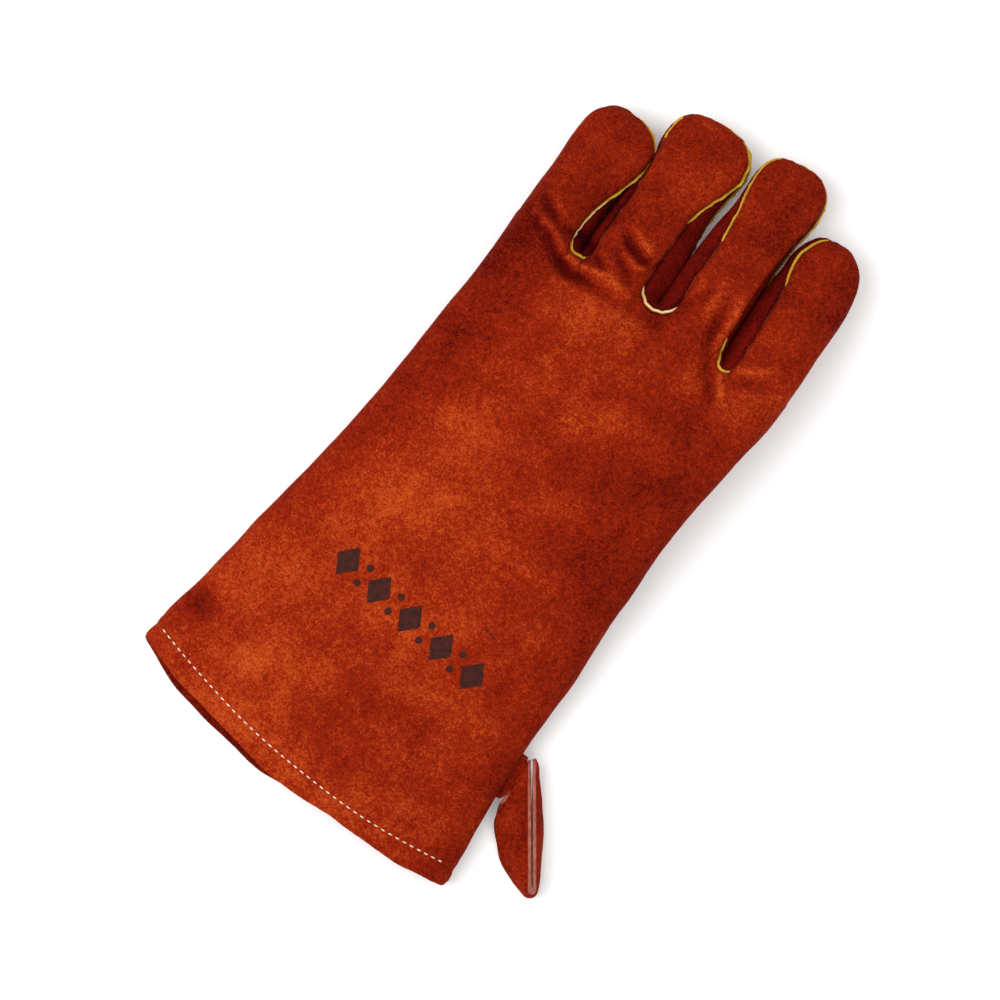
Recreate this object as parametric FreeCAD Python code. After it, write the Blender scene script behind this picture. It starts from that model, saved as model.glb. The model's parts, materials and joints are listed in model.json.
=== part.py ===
"""Left-hand gauntlet glove of split leather, lying palm down.

Frame: +Y towards the fingertips, +X towards the thumb side, +Z up (the back of the hand).
The origin is the centre of the bounding box, on the surface that the glove lies on.
All sizes are in millimetres.
"""

import FreeCAD
import Part

import math
import os

from FreeCAD import Vector

# ---------------------------------------------------------------- driving dimensions
LEATHER = 1.4            # thickness of the split leather
LINING = 1.4             # thickness of the cotton lining
PLY_GAP = 0.3            # air between leather and lining
SEAM_HALF = 0.6          # half the thickness of a welt
SEAM_GAP = 0.05          # between a welt and the panels on either side
WELT_ANGLE = 3.0         # the same half thickness, as an angle of the section (degrees)
WELT_CLEAR = 4.3         # angle at which the panels beside a welt begin (degrees)
WELT_PROUD = 1.1         # how far a finger welt stands out of the leather
SIDE_WELT_PROUD = 0.9    # the same for the side and wrist seams

KNUCKLE_Y = 100.0        # line where the fingers bend
KNUCKLE_Z = 11.0         # height of the bend line, on the palm side
WRIST_Y = -22.0          # seam between palm panel and palm-side cuff
JOINT_GAP = 0.3          # between a moving tube and the hand

HEM_WIDTH = 12.0         # width of the turned edge inside the cuff
HEM_LIP = 1.5            # thickness of the fold at the mouth
STITCH_INSET = 8.5       # from the mouth to the hem stitching
STITCH_PITCH = 3.6
STITCH_LENGTH = 2.5
THREAD_RADIUS = 0.35
GROOVE_DEPTH = 0.8       # the stitching sinks this far on the side that lies down

# mouth of the cuff: three points of its arc, seen from above
MOUTH_LEFT, MOUTH_MIDDLE, MOUTH_RIGHT = (-106.0, -153.0), (-20.0, -176.0), (67.0, -182.0)

# stations of the hand and cuff: left edge, right edge (x, y), underside z, top z, squareness above and below
HAND = [
    ((-110, -172), (66, -200), -0.3, 25.0, (2.6, 5.0)),
    ((-104, -146), (67, -172), -0.3, 26.0, (2.6, 5.0)),
    ((-94, -105), (70, -125), -0.3, 28.5, (2.6, 5.0)),
    ((-85, -60), (72.5, -75), 3.5, 33.0, (2.7, 4.0)),
    ((-76, -20), (74, -28), 11.0, 39.0, (2.8, 3.2)),
    ((-69, 15), (75.5, 12), 17.2, 45.0, (3.0, 3.2)),
    ((-65, 50), (82, 50), 18.0, 47.5, (3.2, 3.4)),
    ((-62, 80), (87, 80), 16.0, 44.5, (3.7, 3.8)),
    ((-59, 100), (90, 100), 11.0, 39.0, (4.5, 4.5)),
]
WIDEST_SHARE = 0.36      # height of the widest line, as a share of the thickness
SIDE_SEAM_AT = 10.0      # how far round the section, below the widest line, the side seams run (degrees)

# fingers: stations of (y, left x, right x, height), y of the tip, which sides carry a fourchette
FINGERS = {
    "little": ([(88, -60, -28.5, 27), (104, -59, -28.5, 26.5), (122, -58, -27, 25.5), (138, -57, -24.6, 24),
                (150, -54, -23, 22.5)], 166.0, ("right",)),
    "ring": ([(88, -24.5, 13.2, 27), (104, -24.5, 13.4, 26.5), (128, -22.3, 15.5, 26), (144, -21, 17, 25),
              (160, -20.8, 19.4, 23.5)], 180.0, ("left", "right")),
    "middle": ([(88, 17.4, 50.8, 27), (104, 17.4, 50.8, 26.5), (128, 18.8, 51.2, 26), (146, 21.2, 53.6, 25),
                (162, 23.5, 57.4, 23.5)], 182.5, ("left", "right")),
    "index": ([(88, 54.4, 90, 27), (104, 54.4, 90, 26.5), (120, 54.6, 90.8, 25.5), (138, 56.4, 91.3, 24)],
              162.0, ("left",)),
}
FINGER_SQUARENESS = 3.2
FINGER_SEAM_AT = 26.0    # the finger seams run this far above and below the middle of each side (degrees)
TIP_HEIGHT_Z = 1.0       # underside of a fingertip above the ground, before its dome

# crotches between the fingers: x of the middle, y of the bottom, width of the slit
CROTCHES = {
    "little_ring": (-26.5, 95.0, 4.0),
    "ring_middle": (15.4, 92.0, 4.0),
    "middle_index": (52.6, 83.0, 3.6),
}

# thumb, folded flat under the palm
THUMB_STATIONS = [(8, 35, 70, 14.6), (28, 36, 71, 15.2), (50, 38, 72.5, 15.0), (72, 41, 74, 13.2)]
THUMB_TIP_Y, THUMB_REAR_Y, THUMB_JOINT_Y = 96.0, -8.0, 38.0
THUMB_HOLE = (36.5, 68.5, 4.0, 33.0)   # left, right, rear, front of the way from the palm into the thumb
THUMB_HOLE_CORNER = 11.0
THUMB_SQUARENESS = 2.8

# hanging loop: a strip sewn flat into the side seam, bent back on itself and standing like a tent
LOOP_ROOT = (73.4, -122.0)            # on the bend line beside the side seam
LOOP_AXIS_Z = 9.0
LOOP_THICKNESS = 1.5
LOOP_ROOT_WIDTH = 22.0                # length of seam that holds it
# middle of the strip from one sewn end to the other: its upper edge and its lower edge
LOOP = [
    ((75.0, -113.0, 10.0), (75.0, -134.0, 8.0)),
    ((80.0, -120.0, 12.0), (76.6, -143.0, 4.5)),
    ((86.0, -130.0, 14.5), (80.4, -153.0, 1.6)),
    ((93.0, -141.0, 15.0), (87.5, -160.2, 1.3)),
    ((99.5, -151.5, 14.6), (95.5, -163.0, 1.3)),
    ((103.4, -158.6, 13.5), (102.0, -163.8, 1.7)),
    ((105.2, -160.8, 13.0), (106.0, -161.6, 1.8)),
    ((105.2, -157.2, 13.5), (106.8, -157.0, 1.8)),
    ((101.6, -150.4, 14.6), (104.6, -149.0, 1.3)),
    ((95.4, -140.0, 15.0), (98.0, -136.5, 1.3)),
    ((88.4, -128.6, 14.5), (90.5, -125.0, 1.5)),
    ((82.0, -118.2, 12.0), (84.0, -116.0, 3.0)),
    ((77.4, -111.8, 9.9), (78.5, -109.6, 5.0)),
]

ARC_STEP = 7.5           # spacing of the points that draw a section (degrees)
PINHOLE = 0.03           # share of the width at which a fingertip closes
ALL_ROUND = (-45.0, 314.8)  # a wall that goes all the way round, with one butted seam (degrees)
BIG = 400.0


# ---------------------------------------------------------------- shape helpers
def power(value, exponent):
    """|value| to a power, with value's sign."""
    return 0.0 if abs(value) < 1e-9 else math.copysign(abs(value) ** exponent, value)


def section_point(station, angle, inset):
    """A point of a flattened upright section. Angle 0 is its right edge, 90 degrees its top."""
    centre, turn, half_width, z_low, z_wide, z_high, squareness = station
    upper = math.sin(angle) >= 0
    exponent = 2 / squareness[0 if upper else 1]
    across = (half_width - inset) * power(math.cos(angle), exponent)
    half_height = z_high - z_wide if upper else z_wide - z_low
    height = z_wide + (half_height - inset) * power(math.sin(angle), exponent)
    return Vector(centre[0] + across * math.cos(turn), centre[1] + across * math.sin(turn), height)


def arc(station, start, end, inset):
    """The part of a section from one angle to another (degrees), as a smooth edge.

    Between its ends it uses the same angles whatever they are, so that the plies follow one another."""
    low, high = sorted((start, end))
    first, last = math.ceil((low + 1) / ARC_STEP), math.floor((high - 1) / ARC_STEP)
    angles = [low, *[k * ARC_STEP for k in range(first, last + 1)], high]
    if start > end:
        angles.reverse()
    points = [section_point(station, math.radians(angle), inset) for angle in angles]
    curve = Part.BSplineCurve()
    curve.interpolate(Points=points)
    return curve.toShape(), points[0], points[-1]


def strip(outer_stations, inner_stations, start, end, outset, inset):
    """A wall of the form: the band of its skin between two angles, from outset to inset below the surface."""
    wires = []
    for outer, inner in zip(outer_stations, inner_stations):
        out_edge, a, b = arc(outer, start, end, outset)
        in_edge, c, d = arc(inner, end, start, inset)
        wires.append(Part.Wire([out_edge, Part.makeLine(b, c), in_edge, Part.makeLine(d, a)]))
    return Part.makeLoft(wires, True, True)


def solid_form(stations, inset):
    """The closed form, inset from its skin, as one solid."""
    wires = []
    for station in stations:
        upper, a, b = arc(station, 0, 180, inset)
        lower, c, d = arc(station, 180, 360, inset)
        wires.append(Part.Wire([upper, lower]))
    return Part.makeLoft(wires, True, True)


def block(x0, x1, y0, y1, z0, z1):
    return Part.makeBox(x1 - x0, y1 - y0, z1 - z0, Vector(x0, y0, z0))


def slot_prism(x_mid, y_bottom, width, y_top):
    """An upright slot with a round end at y_bottom, open towards y_top."""
    radius = width / 2
    body = block(x_mid - radius, x_mid + radius, y_bottom + radius, y_top, -BIG, BIG)
    end = Part.makeCylinder(radius, 2 * BIG, Vector(x_mid, y_bottom + radius, -BIG))
    return body.fuse(end).removeSplitter()


def rounded_prism(left, right, rear, front, corner, z0, z1):
    """An upright prism whose outline is a rectangle with round corners."""
    prism = block(left, right, rear, front, z0, z1)
    upright = [e for e in prism.Edges if abs(e.Vertexes[0].X - e.Vertexes[1].X) < 1e-6
               and abs(e.Vertexes[0].Y - e.Vertexes[1].Y) < 1e-6]
    return prism.makeFillet(corner, upright)


def solids(shape):
    """The shape as a compound of its solids, without slivers."""
    smallest = 0.5
    kept = [s for s in shape.Solids if s.Volume > smallest]
    return kept[0] if len(kept) == 1 else Part.makeCompound(kept)


# ---------------------------------------------------------------- mouth of the cuff
def mouth_circle():
    """Centre and radius of the circle that the mouth's edge lies on."""
    arc = Part.Arc(*[Vector(x, y, 0) for x, y in (MOUTH_LEFT, MOUTH_MIDDLE, MOUTH_RIGHT)]).toShape().Curve
    return arc.Center, arc.Radius


MOUTH_CENTRE, MOUTH_RADIUS = mouth_circle()


def inside_mouth(inset):
    """Everything further from the mouth's edge than inset, towards the fingers."""
    return Part.makeCylinder(MOUTH_RADIUS - inset, 2 * BIG, MOUTH_CENTRE - Vector(0, 0, BIG))


# ---------------------------------------------------------------- hand and cuff
def hand_stations():
    made = []
    for left, right, z_low, z_high, squareness in HAND:
        centre = ((left[0] + right[0]) / 2, (left[1] + right[1]) / 2)
        turn = math.atan2(right[1] - left[1], right[0] - left[0])
        half = math.hypot(right[0] - left[0], right[1] - left[1]) / 2
        made.append((centre, turn, half, z_low, z_low + WIDEST_SHARE * (z_high - z_low), z_high, squareness))
    return made


HAND_STATIONS = hand_stations()
BACK_ANGLES = (-SIDE_SEAM_AT + WELT_CLEAR, 180 + SIDE_SEAM_AT - WELT_CLEAR)
FRONT_ANGLES = (180 + SIDE_SEAM_AT + WELT_CLEAR, 360 - SIDE_SEAM_AT - WELT_CLEAR)


def hand_strip(angles, outset, inset):
    return strip(HAND_STATIONS, HAND_STATIONS, *angles, outset, inset)


def crotch_tool(name, extra, y_top):
    x_mid, y_bottom, width = CROTCHES[name]
    return slot_prism(x_mid, y_bottom - extra / 2, width + extra, y_top)


def thumb_hole(grow, z0, z1):
    left, right, rear, front = THUMB_HOLE
    corner = THUMB_HOLE_CORNER + grow
    return rounded_prism(left - grow, right + grow, rear - grow, front + grow, corner, z0, z1)


def build_hand():
    above_ground = block(-BIG, BIG, -BIG, KNUCKLE_Y, 0, BIG)
    cut_to_mouth = inside_mouth(HEM_LIP)
    slack = 2 * SEAM_GAP
    rim = 2 * LEATHER + 4 * SEAM_HALF

    def slots(extra):
        return Part.makeCompound([crotch_tool(n, extra, KNUCKLE_Y + 2) for n in CROTCHES])

    parts = {}
    back = hand_strip(BACK_ANGLES, 0, LEATHER).common(cut_to_mouth)
    parts["back_panel"] = solids(back.cut(slots(rim + slack)))
    front = hand_strip(FRONT_ANGLES, 0, LEATHER)
    palm_zone = block(-BIG, BIG, WRIST_Y + SEAM_HALF + SEAM_GAP, KNUCKLE_Y, 0, BIG)
    palm = front.common(palm_zone).cut(slots(2 * LEATHER + slack))
    parts["palm_panel"] = solids(palm.cut(thumb_hole(0, 5, 30)))
    cuff_zone = block(-BIG, BIG, -BIG, WRIST_Y - SEAM_HALF - SEAM_GAP, 0, BIG)
    groove = inside_mouth(STITCH_INSET - 2 * THREAD_RADIUS)
    groove = groove.cut(inside_mouth(STITCH_INSET + 2 * THREAD_RADIUS))
    cuff = front.common(cuff_zone).common(cut_to_mouth)
    parts["cuff_front_panel"] = solids(cuff.cut(groove.common(block(-BIG, BIG, -BIG, 0, -5, GROOVE_DEPTH))))

    seams = [hand_strip((a - WELT_ANGLE, a + WELT_ANGLE), -SIDE_WELT_PROUD, LEATHER).common(cut_to_mouth)
             for a in (180 + SIDE_SEAM_AT, 360 - SIDE_SEAM_AT)]
    parts["side_seam_welts"] = Part.makeCompound(seams)
    wrist = hand_strip(FRONT_ANGLES, -SIDE_WELT_PROUD, LEATHER)
    parts["wrist_seam_welt"] = solids(wrist.common(block(-BIG, BIG, WRIST_Y - SEAM_HALF, WRIST_Y + SEAM_HALF,
                                                         0, BIG)))

    knuckles = solid_form(HAND_STATIONS[5:], 0)
    walls = [crotch_tool(n, 2 * LEATHER, KNUCKLE_Y).cut(crotch_tool(n, 0, KNUCKLE_Y + 2)) for n in CROTCHES]
    parts["crotch_gussets"] = solids(Part.makeCompound(walls).common(knuckles))
    rims = [crotch_tool(n, rim, KNUCKLE_Y).cut(crotch_tool(n, 2 * LEATHER + slack, KNUCKLE_Y + 2))
            for n in CROTCHES]
    rim_skin = strip(HAND_STATIONS[5:], HAND_STATIONS[5:], *BACK_ANGLES, -WELT_PROUD, LEATHER)
    parts["crotch_welts"] = solids(Part.makeCompound(rims).common(rim_skin))

    lining = hand_strip(ALL_ROUND, LEATHER + PLY_GAP, LEATHER + PLY_GAP + LINING)
    hand_lining = lining.common(block(-BIG, BIG, WRIST_Y + SEAM_GAP, KNUCKLE_Y, 0, BIG))
    hand_lining = hand_lining.cut(slots(2 * LEATHER + 2 * PLY_GAP))
    parts["hand_lining"] = solids(hand_lining.cut(thumb_hole(0.3, 5, 30)))
    cuff_lining = lining.common(block(-BIG, BIG, -BIG, WRIST_Y - SEAM_GAP, 0, BIG))
    parts["cuff_lining"] = solids(cuff_lining.common(inside_mouth(HEM_WIDTH + PLY_GAP)))

    rear = HAND_STATIONS[:3]
    edge = inside_mouth(0)
    lip = strip(rear, rear, *ALL_ROUND, 0, 2 * LEATHER + SEAM_GAP).common(edge)
    lip = lip.cut(inside_mouth(HEM_LIP - SEAM_GAP))
    turned = strip(rear, rear, *ALL_ROUND, LEATHER + SEAM_GAP, 2 * LEATHER + SEAM_GAP).common(edge)
    turned = turned.cut(inside_mouth(HEM_WIDTH))
    parts["cuff_hem"] = solids(lip.fuse(turned).common(above_ground))
    parts["hem_stitching"] = hem_stitches()
    parts["hang_loop_root"] = loop_root()
    return parts


def surface_heights(p):
    """Lowest and highest z of the cuff on the upright line through p."""
    for first, second in zip(HAND_STATIONS, HAND_STATIONS[1:]):
        low, high = 0.0, 1.0

        def blend(share):
            return [a + (b - a) * share for a, b in zip(
                (*first[0], *first[1:6], *first[6]), (*second[0], *second[1:6], *second[6]))]

        def beyond(share):
            x, y, turn = blend(share)[:3]
            return (p.y - y) * math.cos(turn) - (p.x - x) * math.sin(turn)

        if beyond(0) < 0 or beyond(1) > 0:
            continue
        for _ in range(40):
            middle = (low + high) / 2
            low, high = (middle, high) if beyond(middle) > 0 else (low, middle)
        x, y, turn, half, z_low, z_wide, z_high, upper, lower = blend(low)
        across = min(0.999, abs((p.x - x) * math.cos(turn) + (p.y - y) * math.sin(turn)) / half)
        return (z_wide - (z_wide - z_low) * (1 - across ** lower) ** (1 / lower),
                z_wide + (z_high - z_wide) * (1 - across ** upper) ** (1 / upper))
    raise ValueError(p)


def rod(start, end):
    return Part.makeCylinder(THREAD_RADIUS, (end - start).Length, start, end - start)


def hem_stitches():
    """White lockstitch round the cuff: each stitch is its own short rod, above the cuff and below it."""
    reach = MOUTH_RADIUS - STITCH_INSET
    side_margin = 7.0
    ends = [math.atan2(y - MOUTH_CENTRE.y, x - MOUTH_CENTRE.x) for x, y in (MOUTH_LEFT, MOUTH_RIGHT)]
    first, last = ends[0] + side_margin / reach, ends[1] - side_margin / reach
    count = int((last - first) * reach / STITCH_PITCH)
    half_turn = STITCH_LENGTH / 2 / reach
    made = []
    for k in range(count):
        angle = first + (k + 0.5) * (last - first) / count
        feet = [Vector(MOUTH_CENTRE.x + reach * math.cos(a), MOUTH_CENTRE.y + reach * math.sin(a), 0)
                for a in (angle - half_turn, angle + half_turn)]
        heights = [surface_heights(p) for p in feet]
        slope = abs(heights[0][1] - heights[1][1]) / STITCH_LENGTH
        lift = (THREAD_RADIUS + 0.12) * math.hypot(1, slope) + 0.1 * slope
        made.append(rod(*[p + Vector(0, 0, h[1] + lift) for p, h in zip(feet, heights)]))
        slope = abs(heights[0][0] - heights[1][0]) / STITCH_LENGTH
        lift = (THREAD_RADIUS + 0.12) * math.hypot(1, slope) + 0.1 * slope
        made.append(rod(*[p + Vector(0, 0, max(h[0] - lift, THREAD_RADIUS + SEAM_GAP))
                          for p, h in zip(feet, heights)]))
    return Part.makeCompound(made)


# ---------------------------------------------------------------- fingers and thumb
def dome(share):
    """Width share of a fingertip at a share of the dome's length."""
    roundness = 2.4
    return (1 - share ** roundness) ** (1 / roundness)


def digit_stations(stations, tip_y, squareness, inset, rear_y=None):
    """Sections of a finger or thumb lying level on z = 0, closing as domes, inset from the outer ones."""
    shares = (0.3, 0.55, 0.75, 0.88, 0.96)
    made = []

    def add(y, station, share):
        _, left, right, height = station
        middle, half, rise = height / 2, (right - left) / 2 * share, height / 2 * share
        made.append((((left + right) / 2, y), 0, half, middle - rise, middle, middle + rise,
                     (squareness, squareness)))

    def dome_ys(start, end):
        """Lines across a dome, the same for every ply: most of the way, then the last bit before its end."""
        inner_reach = (end - start) - math.copysign(LEATHER + PLY_GAP + LINING, end - start)
        return [start + inner_reach * share for share in shares] + [
            end - math.copysign(back, end - start) for back in (LEATHER + PLY_GAP + LINING, LEATHER + PLY_GAP,
                                                               LEATHER, 0.5)]

    def dome_share(y, start, end):
        reach = abs(end - start) - inset
        return max(PINHOLE, dome(min(1, abs(y - start) / reach)))

    first, last = stations[0], stations[-1]
    if rear_y is not None:
        for y in reversed(dome_ys(first[0], rear_y)):
            add(y, first, dome_share(y, first[0], rear_y))
    for station in stations:
        add(station[0], station, 1)
    for y in dome_ys(last[0], tip_y):
        add(y, last, dome_share(y, last[0], tip_y))
    return made


def skin(stations, inset):
    """Insets that shrink with a dome, so that no section turns inside out."""
    widest = max(station[2] for station in stations)
    return [(c, t, h - inset * min(1, h / widest * 1.05), lo + inset * min(1, h / widest * 1.05), zm,
             hi - inset * min(1, h / widest * 1.05), n) for c, t, h, lo, zm, hi, n in stations]


def digit_strip(spec, angles, outset, inset):
    """A wall of a finger or thumb between two angles."""
    outer, inner = [skin(digit_stations(*spec[:3], reach, *spec[3:]), reach) for reach in (outset, inset)]
    return strip(outer, inner, *angles, 0, 0)


def build_finger(name):
    stations, tip_y, walls = FINGERS[name]
    spec = (stations, tip_y, FINGER_SQUARENESS)
    seam, clear = FINGER_SEAM_AT, WELT_CLEAR
    parts = {"front": [(180 + seam + clear, 360 - seam - clear)]}
    back = [seam + clear, 180 - seam - clear]
    welts = [(-seam - WELT_ANGLE, -seam + WELT_ANGLE), (180 + seam - WELT_ANGLE, 180 + seam + WELT_ANGLE)]
    for side, low, high in (("right", -seam, seam), ("left", 180 + seam, 180 - seam)):
        inward = 1 if side == "right" else -1
        if side in walls:
            label = "fourchette" if len(walls) == 1 else f"fourchette_{side}"
            parts[label] = [(low + inward * clear, high - inward * clear)]
            welts.append((high - WELT_ANGLE, high + WELT_ANGLE))
        else:
            back[0 if side == "right" else 1] = low + inward * clear
    parts["back"] = [tuple(back)]
    parts["lining"] = [ALL_ROUND]
    parts["welts"] = welts

    slope = math.degrees(math.asin((KNUCKLE_Z - TIP_HEIGHT_Z) / (tip_y - KNUCKLE_Y)))
    beyond = block(-BIG, BIG, KNUCKLE_Y + JOINT_GAP, BIG, 0, BIG)
    plies = {"lining": (LEATHER + PLY_GAP, LEATHER + PLY_GAP + LINING), "welts": (-WELT_PROUD, LEATHER)}
    placed = {}
    for label, bands in parts.items():
        pieces = []
        for band in bands:
            piece = digit_strip(spec, sorted(band), *plies.get(label, (0, LEATHER)))
            piece.translate(Vector(0, 0, KNUCKLE_Z))
            piece.rotate(Vector(0, KNUCKLE_Y, KNUCKLE_Z), Vector(1, 0, 0), -slope)
            pieces.append(piece.common(beyond))
        placed[f"{name}_finger_{label}"] = solids(Part.makeCompound(pieces))
    return placed


def build_thumb():
    spec = (THUMB_STATIONS, THUMB_TIP_Y, THUMB_SQUARENESS, THUMB_REAR_Y)
    base_zone = block(-BIG, BIG, -BIG, THUMB_JOINT_Y, 0, BIG)
    tube_zone = block(-BIG, BIG, THUMB_JOINT_Y + JOINT_GAP, BIG, 0, BIG)
    clear = WELT_CLEAR * 2
    low = digit_strip(spec, (180 + clear, 360 - clear), 0, LEATHER)
    high = digit_strip(spec, (clear, 180 - clear), 0, LEATHER)
    reach = 2 * WELT_ANGLE
    welts = Part.makeCompound([digit_strip(spec, (a - reach, a + reach), -WELT_PROUD, LEATHER)
                               for a in (0, 180)])
    lining = digit_strip(spec, ALL_ROUND, LEATHER + PLY_GAP, LEATHER + PLY_GAP + LINING)
    seam_z = THUMB_STATIONS[1][3] / 2
    way_in = thumb_hole(0, seam_z + 2, 30)
    ring = thumb_hole(2.6, seam_z + 3, HAND[5][2] + 1).cut(thumb_hole(0, 0, 40))
    thumb_solid = solid_form(skin(digit_stations(*spec[:3], -0.2, THUMB_REAR_Y), -0.2), 0)
    ring = ring.cut(solid_form(HAND_STATIONS[3:7], -0.15)).cut(thumb_solid)
    return {
        "thumb_base_outer": solids(low.common(base_zone)),
        "thumb_base_inner": solids(high.common(base_zone).cut(way_in)),
        "thumb_base_seam_welt": solids(welts.common(base_zone)),
        "thumb_base_lining": solids(lining.common(base_zone).cut(way_in)),
        "thumb_hole_welt": solids(ring),
        "thumb_back": solids(low.common(tube_zone)),
        "thumb_front": solids(high.common(tube_zone)),
        "thumb_welt": solids(welts.common(tube_zone)),
        "thumb_lining": solids(lining.common(tube_zone)),
    }


# ---------------------------------------------------------------- hanging loop
def seam_direction():
    """Along the side seam beside the loop, towards the fingers."""
    (x0, y0), (x1, y1) = HAND[1][1], HAND[2][1]
    return Vector(x1 - x0, y1 - y0, 0).normalize()


def loop_root():
    """The ends of the strip, caught in the side seam."""
    along = seam_direction()
    out = Vector(along.y, -along.x, 0)
    middle = Vector(*LOOP_ROOT, LOOP_AXIS_Z)
    reach_in, reach_out = 3.2, -0.7
    corners = [middle + along * (LOOP_ROOT_WIDTH / 2 * a) + out * b + Vector(0, 0, -LOOP_THICKNESS)
               for a, b in ((-1, -reach_in), (1, -reach_in), (1, reach_out), (-1, reach_out))]
    tab = Part.Face(Part.makePolygon(corners + [corners[0]])).extrude(Vector(0, 0, 2 * LOOP_THICKNESS))
    return solids(tab.cut(solid_form(HAND_STATIONS[1:4], -SIDE_WELT_PROUD - SEAM_GAP)))


def build_loop():
    tops, lows = [Vector(*top) for top, _ in LOOP], [Vector(*low) for _, low in LOOP]
    middles = [(a + b) * 0.5 for a, b in zip(tops, lows)]
    wires = []
    for k, (top, low) in enumerate(zip(tops, lows)):
        along = middles[min(k + 1, len(LOOP) - 1)] - middles[max(k - 1, 0)]
        out = along.cross(top - low).normalize() * (LOOP_THICKNESS / 2)
        corners = [top - out, top + out, low + out, low - out]
        wires.append(Part.makePolygon(corners + [corners[0]]))
    return {"hang_loop": Part.makeLoft(wires, True, True)}


# ---------------------------------------------------------------- write the parts
def main():
    os.makedirs("parts", exist_ok=True)
    parts = build_hand()
    for name in FINGERS:
        parts.update(build_finger(name))
    parts.update(build_thumb())
    parts.update(build_loop())
    for name, shape in parts.items():
        shape.exportStep(f"parts/{name}.step")
        print(f"{name:28s} solids {len(shape.Solids):3d}  valid {shape.isValid()}")


main()
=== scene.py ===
import json
import math

import bmesh
import bpy
import numpy as np
from mathutils import Matrix, Vector
from mathutils.bvhtree import BVHTree
from mathutils.kdtree import KDTree


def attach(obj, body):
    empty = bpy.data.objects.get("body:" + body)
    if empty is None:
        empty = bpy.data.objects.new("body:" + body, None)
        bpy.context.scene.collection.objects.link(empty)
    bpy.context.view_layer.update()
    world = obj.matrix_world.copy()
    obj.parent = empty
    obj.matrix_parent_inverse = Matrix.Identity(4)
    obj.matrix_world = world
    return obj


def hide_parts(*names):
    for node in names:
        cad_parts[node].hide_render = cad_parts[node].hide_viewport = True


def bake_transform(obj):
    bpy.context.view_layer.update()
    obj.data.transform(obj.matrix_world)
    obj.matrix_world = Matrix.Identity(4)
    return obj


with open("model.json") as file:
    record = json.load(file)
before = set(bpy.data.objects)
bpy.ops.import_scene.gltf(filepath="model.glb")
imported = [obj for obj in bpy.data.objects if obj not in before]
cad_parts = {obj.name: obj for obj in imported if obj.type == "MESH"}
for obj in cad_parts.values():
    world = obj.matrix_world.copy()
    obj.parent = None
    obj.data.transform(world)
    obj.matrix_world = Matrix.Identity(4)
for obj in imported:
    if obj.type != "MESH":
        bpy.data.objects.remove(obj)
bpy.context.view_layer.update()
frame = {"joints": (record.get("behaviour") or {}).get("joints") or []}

MM = 0.001
UNIT = 1 / MM
FINGERS = ("little", "ring", "middle", "index")
JOINTS = {j["name"]: j for j in frame["joints"]}
KNUCKLE_Z = JOINTS["ring_finger_bend"]["pos_m"][2]


# ---------------------------------------------------------------- small helpers
def add_object(name, data):
    made = bpy.data.objects.new(name, data)
    bpy.context.scene.collection.objects.link(made)
    return made


def unit(rows):
    """Vectors scaled to length one, row by row."""
    return rows / np.linalg.norm(rows, axis=-1)[..., None]


def power(value, exponent):
    """A power that keeps the sign of its base."""
    return math.copysign(abs(value) ** exponent, value)


def bell(value, centre, width):
    return np.exp(-((value - centre) / width) ** 2)


def read_vectors(collection, key):
    made = np.empty(len(collection) * 3)
    collection.foreach_get(key, made)
    return made.reshape(-1, 3)


def grid_quads(rows, cols, base=0, closed=False):
    """Quads of a grid of points that starts at number base; closed joins its last column to its first."""
    made = []
    for r in range(rows - 1):
        a, b = base + r * cols, base + (r + 1) * cols
        for c in range(cols if closed else cols - 1):
            d = (c + 1) % cols
            made.append((a + c, a + d, b + d, b + c))
    return made


def reversed_face(face):
    """The face seen from its other side, from the same first corner."""
    return (face[0], *face[:0:-1])


def shell_faces(rows, cols):
    """The faces of two layers of a grid, and those of the rim between the layers."""
    count = rows * cols
    flat, rim = [], []
    for quad in grid_quads(rows, cols):
        flat += [reversed_face(quad), tuple(count + v for v in quad)]
    for c in range(cols - 1):
        a, b = c, (rows - 1) * cols + c
        rim += [(a, a + 1, count + a + 1, count + a), (b, count + b, count + b + 1, b + 1)]
    for r in range(rows - 1):
        a, b = r * cols, r * cols + cols - 1
        rim += [(a, count + a, count + a + cols, a + cols), (b, b + cols, count + b + cols, count + b)]
    return flat, rim


def append_part(points, faces, new_points, new_faces):
    base = len(points)
    points += new_points
    faces += [tuple(v + base for v in f) for f in new_faces]


# ---------------------------------------------------------------- camera
VIEW_WIDTH = 0.452
DISTANCE = 2.4
FOCUS_HEIGHT = 0.02
SENSOR = 36
AIM = (0.0002, -0.0179)
camera_data = bpy.data.cameras.new("Camera")
camera = add_object("Camera", camera_data)
camera_data.sensor_width = SENSOR
camera_data.lens = SENSOR * (DISTANCE - FOCUS_HEIGHT) / VIEW_WIDTH
right, up = Vector((0.857, 0.515, 0)).normalized(), Vector((-0.515, 0.857, 0)).normalized()
camera.matrix_world = Matrix.Translation((*AIM, DISTANCE)) @ Matrix(
    ((right.x, up.x, 0), (right.y, up.y, 0), (0, 0, 1))).to_4x4()
bpy.context.scene.camera = camera


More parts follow.
